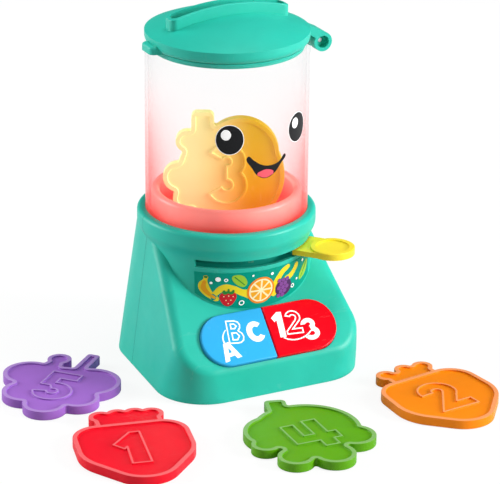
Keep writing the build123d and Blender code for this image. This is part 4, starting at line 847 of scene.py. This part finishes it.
def arc_points(middle: Spot, wide: float, high: float, start: float, end: float, count: int) -> Points:
    """Points along an arc of an ellipse.

    Args:
        middle: its middle across and up.
        wide: half width.
        high: half height.
        start: first angle in degrees, anticlockwise from the right.
        end: last angle in degrees.
        count: how many points.

    Returns:
        The points in order.
    """
    turns = [math.radians(start + (end - start) * i / (count - 1)) for i in range(count)]
    return [(middle[0] + wide * math.cos(t), middle[1] + high * math.sin(t)) for t in turns]


def round_points(x: float, z: float, radius: float, count: int = 8) -> Points:
    """Points round a circle, for a smooth outline."""
    turns = [2.0 * math.pi * i / count for i in range(count)]
    return [(x + radius * math.cos(t), z + radius * math.sin(t)) for t in turns]


def slice_sheet(shape: Piece, pitch: float, axes: str = "XZ") -> None:
    """Cuts a flat sheet into strips so that it can bend.

    Args:
        shape: the sheet.
        pitch: strip width in millimetres.
        axes: the directions that it is cut across.
    """
    step = pitch * MM
    with editing(shape):
        for axis in axes:
            index = "XYZ".index(axis)
            normal = [float(i == index) for i in range(3)]
            values = [v.co[index] for v in shape.data.vertices]
            place = min(values) + step
            while place < max(values) - LAST_STRIP * step:
                point = [place * n for n in normal]
                bpy.ops.mesh.select_all(action="SELECT")
                bpy.ops.mesh.bisect(plane_co=point, plane_no=normal)
                place += step


# ---------------------------------------------------------------- sub-assemblies
@dataclass
class Housing:
    """Base shells, bottom cover, battery door and what is screwed inside them."""

    seam_y: float = 4.0 * MM
    seam_half: float = 0.3 * MM
    seam_rise: float = 0.04 * MM
    seam_depth: float = 1.2 * MM
    skin_lean: float = 0.2
    edge_lean: float = 0.9
    knob_edge: float = 0.3
    shells: tuple[str, ...] = ("front_housing", "rear_housing", "bottom_cover", "battery_door")
    screws: tuple[str, ...] = ("base_screws", "shell_screws", "frame_screws", "door_screw")
    spindle: tuple[str, ...] = ("spindle_screw", "spindle_washer")
    contacts: tuple[str, ...] = ("contact_plates", "contact_springs")

    def build(self) -> None:
        """Builds the shells and dresses the parts inside."""
        for node in self.shells:
            stand_in(node, f"{node}_shell", TEAL, "base")
        self.seam()
        dress_nodes(STEEL, *self.screws, *self.spindle, *self.contacts)
        dress_nodes(STEEL, "board_screws", "speaker_basket", "speaker_magnet")
        dress_nodes(BLACK, "switch_case", "sound_chip", "capacitor", "speaker_cone")
        dress_nodes(CELL, "battery_1", "battery_2", "battery_3")
        dress_nodes(BOARD, "lamp_board", "main_board")
        dress_nodes(LAMP, "lamps")
        dress_nodes(INNER, "connectors")
        dress_nodes(DEEP_TEAL, "inner_frame")
        stand_in("switch_knob", "switch_knob_cap", BLACK, "switch_knob", self.knob_edge, 2)

    def seam(self) -> None:
        """Draws the shadow line where the two shells meet, on the outer skin only."""
        for node, side in (("front_housing", -1.0), ("rear_housing", 1.0)):
            strip = refined_copy(node, f"{node}_seam")
            with editing(strip):
                for reach, keep_above in ((0.0, side > 0.0), (side * self.seam_half, side < 0.0)):
                    bpy.ops.mesh.select_all(action="SELECT")
                    bpy.ops.mesh.bisect(
                        plane_co=(0.0, self.seam_y + reach, 0.0),
                        plane_no=(0.0, 1.0, 0.0),
                        clear_inner=keep_above,
                        clear_outer=not keep_above,
                    )
            self.keep_skin(strip)
            apply_modifier(strip, "DISPLACE", strength=self.seam_rise, mid_level=0.0)
            dress(strip, SEAM, "base")

    def keep_skin(self, strip: Piece) -> None:
        """Keeps a strip's outer skin, the widest faces in each millimetre of height."""
        widest: dict[int, float] = {}
        for face in strip.data.polygons:
            row = round(face.center.z / MM)
            widest[row] = max(widest.get(row, 0.0), abs(face.center.x))
        for face in strip.data.polygons:
            near = abs(face.center.x) > widest[round(face.center.z / MM)] - self.seam_depth
            outward = face.normal.x * face.center.x > self.skin_lean * abs(face.center.x)
            face.select = not (near and outward and abs(face.normal.y) < self.edge_lean)
        bpy.ops.object.mode_set(mode="EDIT")
        bpy.ops.mesh.select_mode(type="FACE")
        bpy.ops.mesh.delete(type="FACE")
        bpy.ops.object.mode_set(mode="OBJECT")


@dataclass
class Jar:
    """Clear jar and the plain printed face on its wall, in millimetres round it and up."""

    wall_smooth: float = 40.0
    strip: float = 2.0
    oval_points: int = 48
    eye_wide: float = 19.0
    eye_high: float = 20.9
    eye_edge: float = 0.9
    glint_wide: float = 7.0
    glint_high: float = 7.6
    glint_shift: Spot = (-2.6, 3.6)
    left_eye: Spot = (-24.4, 181.0)
    right_eye: Spot = (31.0, 181.8)
    mouth: Spot = (2.4, 160.0)

    def build(self) -> None:
        """Builds the jar wall and the print."""
        stand_in("jar", "jar_wall", CLEAR, "base", smooth_below=self.wall_smooth)
        wide, high = self.eye_wide, self.eye_high
        for side, spot in (("left", self.left_eye), ("right", self.right_eye)):
            glint = (spot[0] + self.glint_shift[0], spot[1] + self.glint_shift[1])
            rim = (wide + self.eye_edge, high + self.eye_edge)
            self.oval(f"eye_{side}_edge", spot, rim, INK_WHITE, 1)
            self.oval(f"eye_{side}", spot, (wide, high), INK_BLACK, 2)
            self.oval(f"eye_{side}_glint", glint, (self.glint_wide, self.glint_high), INK_WHITE, 3)
        smile = [(-14.4, 8.2), (-10.8, -1.0), (-6.4, -6.8), (-1.2, -8.8), (5.2, -6.8), (11.4, -0.8)]
        smile += [(15.9, 5.6), (10.0, 1.4), (3.0, 0.0), (-4.0, 1.4), (-9.8, 5.2)]
        self.stick(flat_outlines("mouth", [smile]), self.mouth, INK_BLACK, 2)
        tongue = [(-7.4, -5.2), (-4.0, -3.0), (0.6, -2.6), (5.4, -5.6), (2.4, -7.6)]
        tongue += [(-1.2, -8.3), (-5.0, -7.2)]
        self.stick(flat_outlines("tongue", [tongue]), self.mouth, INK_CORAL, 3)

    def oval(self, name: str, spot: Spot, size: tuple[float, float], ink: Finish, layer: int) -> None:
        """Prints one oval.

        Args:
            name: the piece's name.
            spot: place round the wall and height.
            size: width and height.
            ink: the ink.
            layer: which ink layer it is, counted from the wall.
        """
        clear_selection()
        bpy.ops.mesh.primitive_circle_add(
            vertices=self.oval_points, radius=0.5 * MM, fill_type="NGON"
        )
        shape = bpy.context.object
        shape.name = name
        with editing(shape):
            bpy.ops.transform.resize(value=(*size, 1.0))
        stand_up(shape)
        self.stick(shape, spot, ink, layer)

    def stick(self, shape: Piece, spot: Spot, ink: Finish, layer: int) -> None:
        """Wraps a flat shape round the jar's wall at a place and height."""
        slice_sheet(shape, self.strip, "X")
        across = [v.co.x for v in shape.data.vertices]
        angle = (max(across) - min(across)) / JAR_R
        apply_modifier(
            shape, "SIMPLE_DEFORM", deform_method="BEND", deform_axis="Z", angle=angle
        )
        shift(shape, (0.0, -JAR_R - layer * FILM, spot[1] * MM))
        turn(shape, -spot[0] * MM / JAR_R, "Z")
        dress(shape, ink, "base")


@dataclass
class Lid:
    """Hinged lid with its drop slot, and the steel pin."""

    edge: float = 0.8

    def build(self) -> None:
        """Builds the lid and dresses the pin."""
        stand_in("lid", "lid_shell", TEAL, "lid", self.edge)
        dress_nodes(STEEL, "hinge_pin")


@dataclass
class Mixer:
    """Yellow lever and the lit bowl that it turns."""

    edge: float = 0.5

    def build(self) -> None:
        """Builds the lever and the bowl."""
        stand_in("lever", "lever_handle", YELLOW, "mixer", self.edge)
        stand_in("lit_bowl", "lit_bowl_shell", BOWL, "mixer", self.edge)
        dress_nodes(STEEL, "bowl_screws")


@dataclass
class Buttons:
    """Blue and red buttons with their lettering and what is under them, in millimetres."""

    edge: float = 0.7
    travel: float = 2.2
    spring_foot: float = -13.4
    spring_top: float = 0.55
    spring_smooth: float = 60.0
    ink_rise: float = 0.12
    ink_gap: float = 0.01
    rim_wide: float = 0.95

    def build(self) -> None:
        """Builds the caps, their lettering and the parts under them."""
        for body, finish in (("blue_button", BLUE), ("red_button", RED)):
            stand_in(body, f"{body}_cap", finish, body, self.edge)
        dress_nodes(BLACK, "blue_switch", "red_switch")
        dress_nodes(INNER, "button_frame")
        dress_nodes(BOARD, "button_board")
        dress_nodes(STEEL, "button_screws")
        for colour in ("blue", "red"):
            self.spring(colour)
        for letter in self.letters():
            self.letter(*letter)

    def spring(self, colour: str) -> None:
        """Builds a button's coil spring."""
        node = f"{colour}_spring"
        coil = stand_in(node, f"{node}_coil", STEEL, "base", smooth_below=self.spring_smooth)
        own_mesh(coil)

    def letters(self) -> list[tuple]:
        """Lays out the letters and numbers.

        Returns:
            Name, body it rides on, place across and up the apron, turn in degrees,
            outlines about its own middle, and whether only its rim is printed.
        """
        middle, upper, lower = (0.0, 0.0), (0.0, 3.7), (0.0, -3.5)
        a_shape = [
            [(-6.8, -6.8), (-2.2, 6.4), (2.2, 6.4), (6.8, -6.8), (3.0, -6.8), (2.2, -4.2)]
            + [(-2.2, -4.2), (-3.0, -6.8)],
            [(-1.3, -1.4), (1.3, -1.4), (0.0, 2.6)],
        ]
        b_shape = [
            [(-5.8, -8.8), (-5.8, 8.8), (0.8, 8.8), (3.6, 7.8), (5.0, 5.4), (4.6, 2.6)]
            + [(3.2, 0.9), (5.4, -0.8), (6.4, -3.6), (5.8, -6.6), (3.6, -8.4), (0.8, -8.8)],
            [(-1.9, 5.5), (0.2, 5.5), (1.2, 4.4), (0.2, 3.0), (-1.9, 3.0)],
            [(-1.9, -1.2), (0.8, -1.2), (2.3, -3.2), (0.8, -5.4), (-1.9, -5.4)],
        ]
        one_shape = [
            [(-1.8, -9.6), (2.8, -9.6), (2.8, 9.6), (-0.8, 9.6), (-5.6, 5.4), (-3.6, 2.2), (-1.8, 3.6)]
        ]
        two_shape = [
            arc_points((0.4, 3.6), 6.0, 5.4, 165.0, -30.0, 12)
            + [(-0.4, -4.6), (6.2, -4.6), (6.2, -9.0), (-6.8, -9.0), (-6.8, -6.2), (1.4, 1.6)]
            + arc_points((0.4, 3.6), 1.9, 1.5, -10.0, 165.0, 7)
        ]
        three_shape = [
            arc_points(upper, 5.6, 4.6, 165.0, -40.0, 12)
            + arc_points(lower, 6.2, 4.9, 38.0, -168.0, 14)
            + arc_points(lower, 2.4, 1.7, -160.0, 75.0, 8)
            + arc_points(upper, 2.0, 1.4, -75.0, 155.0, 8)
        ]
        c_shape = [
            arc_points(middle, 6.8, 7.8, 38.0, 322.0, 20)
            + arc_points((0.4, 0.0), 2.9, 3.8, 312.0, 48.0, 14)
        ]
        left_swoosh = [
            arc_points(middle, 11.0, 8.6, 105.0, 196.0, 12)
            + arc_points((0.5, 0.2), 10.3, 7.9, 192.0, 109.0, 12)
        ]
        right_swoosh = [
            arc_points(middle, 14.0, 9.4, 205.0, 318.0, 12)
            + arc_points((0.0, 0.6), 13.2, 9.1, 314.0, 209.0, 12)
        ]
        blue, red = "blue_button", "red_button"
        return [
            ("a", blue, (-34.0, 14.0), 9.0, a_shape, False),
            ("b", blue, (-25.6, 27.0), -8.0, b_shape, True),
            ("c", blue, (-10.2, 24.4), 6.0, c_shape, False),
            ("blue_swoosh", blue, (-26.0, 23.6), 24.0, left_swoosh, False),
            ("one", red, (9.4, 26.0), -6.0, one_shape, False),
            ("two", red, (19.8, 26.0), -4.0, two_shape, True),
            ("three", red, (30.6, 18.8), 8.0, three_shape, False),
            ("red_swoosh", red, (20.4, 22.0), 10.0, right_swoosh, False),
        ]

    def letter(
        self, name: str, body: str, spot: Spot, angle: float, outlines: list[Points], hollow: bool
    ) -> None:
        """Prints one letter on a button.

        Args:
            name: the letter's name.
            body: the body it rides on.
            spot: place across and up the apron.
            angle: degrees anticlockwise.
            outlines: its outlines.
            hollow: prints only a rim of it.
        """
        mark = flat_outlines(f"print_{name}", outlines, smooth=False)
        with editing(mark):
            bpy.ops.mesh.dissolve_limited(angle_limit=0.01)
            if hollow:
                bpy.ops.mesh.inset(thickness=self.rim_wide * MM, use_boundary=True)
                bpy.ops.mesh.delete(type="FACE")
        bpy.ops.object.shade_flat()
        apply_modifier(mark, "SOLIDIFY", thickness=self.ink_rise * MM, offset=0.0)
        lift = BUTTON_PROUD + (0.5 * self.ink_rise + self.ink_gap) * MM
        place = APRON_ORIGIN + APRON_NORMAL * lift + APRON_UP * spot[1] * MM
        place.x += spot[0] * MM
        lean = Matrix.Rotation(APRON_SLOPE - 0.5 * math.pi, 4, "X")
        spin = Matrix.Rotation(-math.radians(angle), 4, "Y")
        mark.matrix_world = Matrix.Translation(place) @ lean @ spin
        pick(mark)
        bpy.ops.object.transform_apply(location=True, rotation=True, scale=True)
        dress(mark, INK_WHITE, body)


@dataclass
class PlayPieces:
    """Five fruit-shaped pieces that drop through the lid."""

    edge: float = 0.4
    finishes: dict[str, Finish] = field(
        default_factory=lambda: {
            "piece_one": BERRY,
            "piece_two": ORANGE,
            "piece_three": AMBER,
            "piece_four": GREEN,
            "piece_five": PURPLE,
        }
    )

    def build(self) -> None:
        """Builds the five pieces."""
        for node, finish in self.finishes.items():
            stand_in(node, f"{node}_body", finish, node, self.edge, 2)


@dataclass
class FrontLabel:
    """Film on the neck with plain fruit motifs, printed ink over ink, in millimetres."""

    first_ink: float = 0.05
    ink_step: float = 0.03
    strip: float = 1.8
    wheel: Spot = (-0.6, 67.6)
    wheel_r: float = 10.4
    peel: float = 1.4
    wheel_parts: int = 8
    berry: Spot = (17.6, 66.4)
    berry_r: float = 7.0
    drupe_r: float = 1.62
    seed_r: float = 0.42

    def build(self) -> None:
        """Builds the film and prints the motifs on it."""
        film = stand_in("front_label", "front_label_film", LABEL, "base")
        for layer, (name, ink, outlines, smooth) in enumerate(self.motifs()):
            sheet = flat_outlines(f"label_{name}", outlines, smooth)
            slice_sheet(sheet, self.strip)
            shift(sheet, (0.0, -100.0 * MM, 0.0))
            apply_modifier(
                sheet,
                "SHRINKWRAP",
                target=film,
                wrap_method="PROJECT",
                wrap_mode="ABOVE_SURFACE",
                use_project_y=True,
                use_negative_direction=False,
                use_positive_direction=True,
                offset=(self.first_ink + layer * self.ink_step) * MM,
            )
            dress(sheet, ink, "base")

    def motifs(self) -> list[tuple[str, Finish, list[Points], bool]]:
        """Lays out the motifs.

        Returns:
            Name, ink, outlines across and up, and whether they are smooth, one entry for
            each ink layer from the film outwards.
        """
        ribbon = [(-35.0, 63.6), (-33.2, 69.8), (-27.6, 74.6), (-20.4, 73.4), (-14.0, 70.0)]
        ribbon += [(-7.0, 68.6), (-7.0, 62.6), (-14.0, 64.6), (-21.0, 68.2), (-27.0, 69.2)]
        ribbon += [(-31.0, 66.4), (-33.2, 62.6)]
        band = [(7.4, 63.0), (8.6, 70.6), (12.6, 77.4), (17.6, 81.8), (23.0, 81.9)]
        band += [(17.4, 76.4), (14.0, 70.0), (12.6, 62.0), (10.0, 60.4)]
        moon = [(-39.2, 81.0), (-37.2, 80.8), (-37.4, 77.6), (-36.0, 72.4), (-33.2, 67.2)]
        moon += [(-30.0, 63.6), (-30.8, 62.0), (-36.0, 64.0), (-40.4, 67.8), (-42.6, 72.0)]
        moon += [(-42.0, 75.8), (-39.8, 78.4)]
        right_moon = [(20.4, 69.6), (25.4, 71.4), (29.6, 75.6), (31.6, 80.6), (29.6, 81.6)]
        right_moon += [(26.4, 77.6), (22.4, 74.6), (19.0, 73.2)]
        heart = [(-39.0, 77.6), (-38.2, 72.6), (-35.4, 67.8), (-32.2, 64.0), (-36.0, 65.6)]
        heart += [(-39.6, 68.8), (-41.2, 72.0), (-40.6, 75.2)]
        straw = [(-29.8, 65.8), (-27.6, 68.4), (-24.0, 68.9), (-20.2, 68.4), (-18.4, 65.6)]
        straw += [(-19.6, 61.0), (-22.6, 57.8), (-25.2, 57.8), (-28.4, 61.0)]
        leaf = [(-22.0, 80.8), (-18.8, 81.9), (-15.0, 81.0), (-12.4, 78.0), (-11.6, 74.4)]
        leaf += [(-13.4, 72.2), (-17.0, 73.0), (-20.2, 75.6), (-22.0, 78.4)]
        right_leaf = [(42.6, 78.6), (39.2, 77.4), (35.6, 74.0), (33.4, 70.0), (33.6, 66.8)]
        right_leaf += [(36.8, 67.4), (40.4, 70.2), (42.6, 74.2)]
        crown = [(-27.8, 67.8), (-27.0, 70.4), (-25.4, 69.0), (-24.0, 71.4), (-22.8, 69.0)]
        crown += [(-20.6, 70.4), (-20.4, 67.8), (-22.4, 66.8), (-24.2, 67.6), (-26.2, 66.8)]
        veins = [
            [(-20.8, 80.2), (-20.2, 80.6), (-12.8, 73.6), (-13.2, 73.2)],
            [(41.6, 77.2), (41.2, 77.8), (34.6, 68.2), (35.0, 68.0)],
            [(-37.0, 80.8), (-39.2, 81.0), (-39.2, 79.4), (-37.6, 79.2)],
        ]
        seeds = [(-27.0, 65.4), (-23.8, 65.8), (-20.8, 65.2), (-25.4, 62.4), (-22.2, 62.4)]
        seeds += [(-23.8, 59.8)]
        berry = round_points(self.berry[0] + 0.6, self.berry[1] - 0.6, self.berry_r)
        return [
            ("ribbon", LABEL_YELLOW, [ribbon, band, moon, right_moon], True),
            ("gold", LABEL_GOLD, [heart], True),
            ("red", LABEL_RED, [straw], True),
            ("leaf", LABEL_LIME, [leaf, right_leaf], True),
            ("crown", LABEL_GREEN, [crown], True),
            ("veins", LABEL_GREEN, veins, False),
            ("peel", LABEL_ORANGE, [round_points(*self.wheel, self.wheel_r)], True),
            ("pith", LABEL_CREAM, [round_points(*self.wheel, self.wheel_r - self.peel)], True),
            ("flesh", LABEL_GOLD, self.segments(), False),
            ("berry", LABEL_PLUM, [berry], True),
            ("drupes", LABEL_VIOLET, self.drupes(), True),
            ("seeds", LABEL_CREAM, [round_points(*s, self.seed_r, 6) for s in seeds], True),
            ("dots", INK_WHITE, [round_points(*dot) for dot in self.dot_places()], True),
        ]

    def dot_places(self) -> list[tuple[float, float, float]]:
        """Places and radii of the dots, with the holes that make rings of some."""
        left = [(-35.2, 76.0, 0.9), (-31.0, 78.8, 1.7), (-26.0, 78.2, 1.3), (-26.0, 78.2, 0.7)]
        left += [(-14.6, 59.6, 2.0), (-14.6, 59.6, 1.3), (-7.6, 80.4, 0.8), (7.2, 79.4, 1.1)]
        right = [(26.6, 64.4, 1.6), (26.6, 64.4, 0.95), (30.4, 68.6, 0.8), (36.4, 80.6, 1.0)]
        return left + right

    def drupes(self) -> list[Points]:
        """Outlines of the berry's drupes, in rows of three and two."""
        rows = ((0.0, 2), (0.5, 2), (0.0, 3), (0.5, 2), (0.0, 3))
        corner_x, corner_z = self.berry[0] - 3.4, self.berry[1] - 6.6
        return [
            round_points(corner_x + 3.5 * (first + col), corner_z + 3.0 * row, self.drupe_r, 6)
            for row, (first, count) in enumerate(rows)
            for col in range(count)
        ]

    def segments(self) -> list[Points]:
        """Outlines of the citrus wheel's segments."""
        spread = 0.78 * math.pi / self.wheel_parts
        near, far = self.wheel_r * 0.16, self.wheel_r * 0.76
        outlines = []
        for index in range(self.wheel_parts):
            middle = 2.0 * math.pi * (index + 0.5) / self.wheel_parts
            turns = [middle + share * spread for share in (-1.0, -0.4, 0.4, 1.0)]
            points = [(far * math.cos(t), far * math.sin(t)) for t in turns]
            points.append((near * math.cos(middle), near * math.sin(middle)))
            outlines.append([(self.wheel[0] + x, self.wheel[1] + z) for x, z in points])
        return outlines


@dataclass
class Studio:
    """Floor, lamps, sky and camera."""

    floor_wide: float = 12.0
    floor_z: float = -0.2 * MM
    floor_tone: Colour = (0.62, 0.62, 0.62, 1.0)
    floor_light: float = 1.1
    floor_share: float = 0.78
    sky_level: float = 0.3
    sky_seen: float = 0.7
    sky_glossy: float = -0.2
    far: float = 50.0
    lamp_aim: Vector = field(default_factory=lambda: Vector((0.0, 0.0, 0.1)))
    target: Vector = field(default_factory=lambda: Vector((15.21, -7.68, 83.25)) * MM)
    distance: float = 1.931322
    azimuth: float = -26.8
    elevation: float = 21.837
    roll: float = 0.535
    lens: float = 194.4
    sensor: float = 36.0

    def build(self) -> None:
        """Builds the stage and the camera."""
        self.floor()
        self.lamp("key_lamp", (1.8, -1.6, 0.75), 1.0, 68.0)
        self.lamp("side_lamp", (-1.8, 1.5, 0.8), 1.1, 48.0)
        self.lamp("top_lamp", (0.4, -0.1, 2.4), 1.1, 25.0)
        self.sky()
        self.camera()

    def floor(self) -> None:
        """Lays a white floor that keeps the object's soft shadow."""
        clear_selection()
        bpy.ops.mesh.primitive_plane_add(size=self.floor_wide, location=(0.0, 0.0, self.floor_z))
        ground = bpy.context.object
        ground.name = "studio_floor"
        made, pen = blank_material("studio_white")
        matt = pen.add("ShaderNodeBsdfDiffuse", {"Color": self.floor_tone})
        bright = pen.add("ShaderNodeEmission", {"Color": WHITE, "Strength": self.floor_light})
        seen = pen.add("ShaderNodeLightPath").outputs["Is Camera Ray"]
        share = pen.math("MULTIPLY", seen, self.floor_share)
        inputs = {0: share, 1: matt.outputs[0], 2: bright.outputs[0]}
        blend = pen.add("ShaderNodeMixShader", inputs)
        pen.add("ShaderNodeOutputMaterial", {"Surface": blend.outputs[0]})
        ground.data.materials.append(made)

    def lamp(self, name: str, place: tuple[float, float, float], size: float, power: float) -> None:
        """Hangs a large soft lamp, turned to the object.

        Args:
            name: the lamp's name.
            place: where it hangs, in metres.
            size: its side in metres.
            power: its power in watts.
        """
        clear_selection()
        bpy.ops.object.light_add(type="AREA", location=place)
        lamp = bpy.context.object
        lamp.name = name
        lamp.data.size = size
        lamp.data.energy = power
        lamp.rotation_euler = (self.lamp_aim - Vector(place)).to_track_quat("-Z", "Y").to_euler()

    def sky(self) -> None:
        """Sets an even world light and a white background."""
        world = bpy.data.worlds.new("studio_sky")
        bpy.context.scene.world = world
        world.use_nodes = True
        world.node_tree.nodes.clear()
        pen = NodePen(world.node_tree)
        rays = pen.add("ShaderNodeLightPath").outputs
        seen = pen.math("ADD", rays["Is Camera Ray"], rays["Is Transmission Ray"], clamp=True)
        soft = pen.math("MULTIPLY_ADD", rays["Is Glossy Ray"], self.sky_glossy, self.sky_level)
        level = pen.math("MULTIPLY_ADD", seen, self.sky_seen, soft)
        back = pen.add("ShaderNodeBackground", {"Color": WHITE, "Strength": level})
        pen.add("ShaderNodeOutputWorld", {"Surface": back.outputs[0]})

    def camera(self) -> None:
        """Places the camera."""
        aim = Matrix.Identity(4)
        for angle, axis in ((self.azimuth, "Z"), (90.0 - self.elevation, "X"), (self.roll, "Z")):
            aim = aim @ Matrix.Rotation(math.radians(angle), 4, axis)
        place = aim @ Vector((0.0, 0.0, self.distance)) + self.target
        clear_selection()
        bpy.ops.object.camera_add()
        camera = bpy.context.object
        camera.name = "product_camera"
        camera.matrix_world = Matrix.Translation(place) @ aim
        camera.data.sensor_width = self.sensor
        camera.data.lens = self.lens
        camera.data.clip_end = self.far
        bpy.context.scene.camera = camera
        bpy.context.scene.view_settings.view_transform = "Standard"


def main() -> None:
    """Builds every sub-assembly in order and logs each."""
    logging.basicConfig(level=logging.INFO, format="%(name)s: %(message)s")
    for assembly in (Housing(), Jar(), Lid(), Mixer(), Buttons(), FrontLabel(), PlayPieces(), Studio()):
        assembly.build()
        log.info("%s built", type(assembly).__name__)


if __name__ == "__main__":
    main()
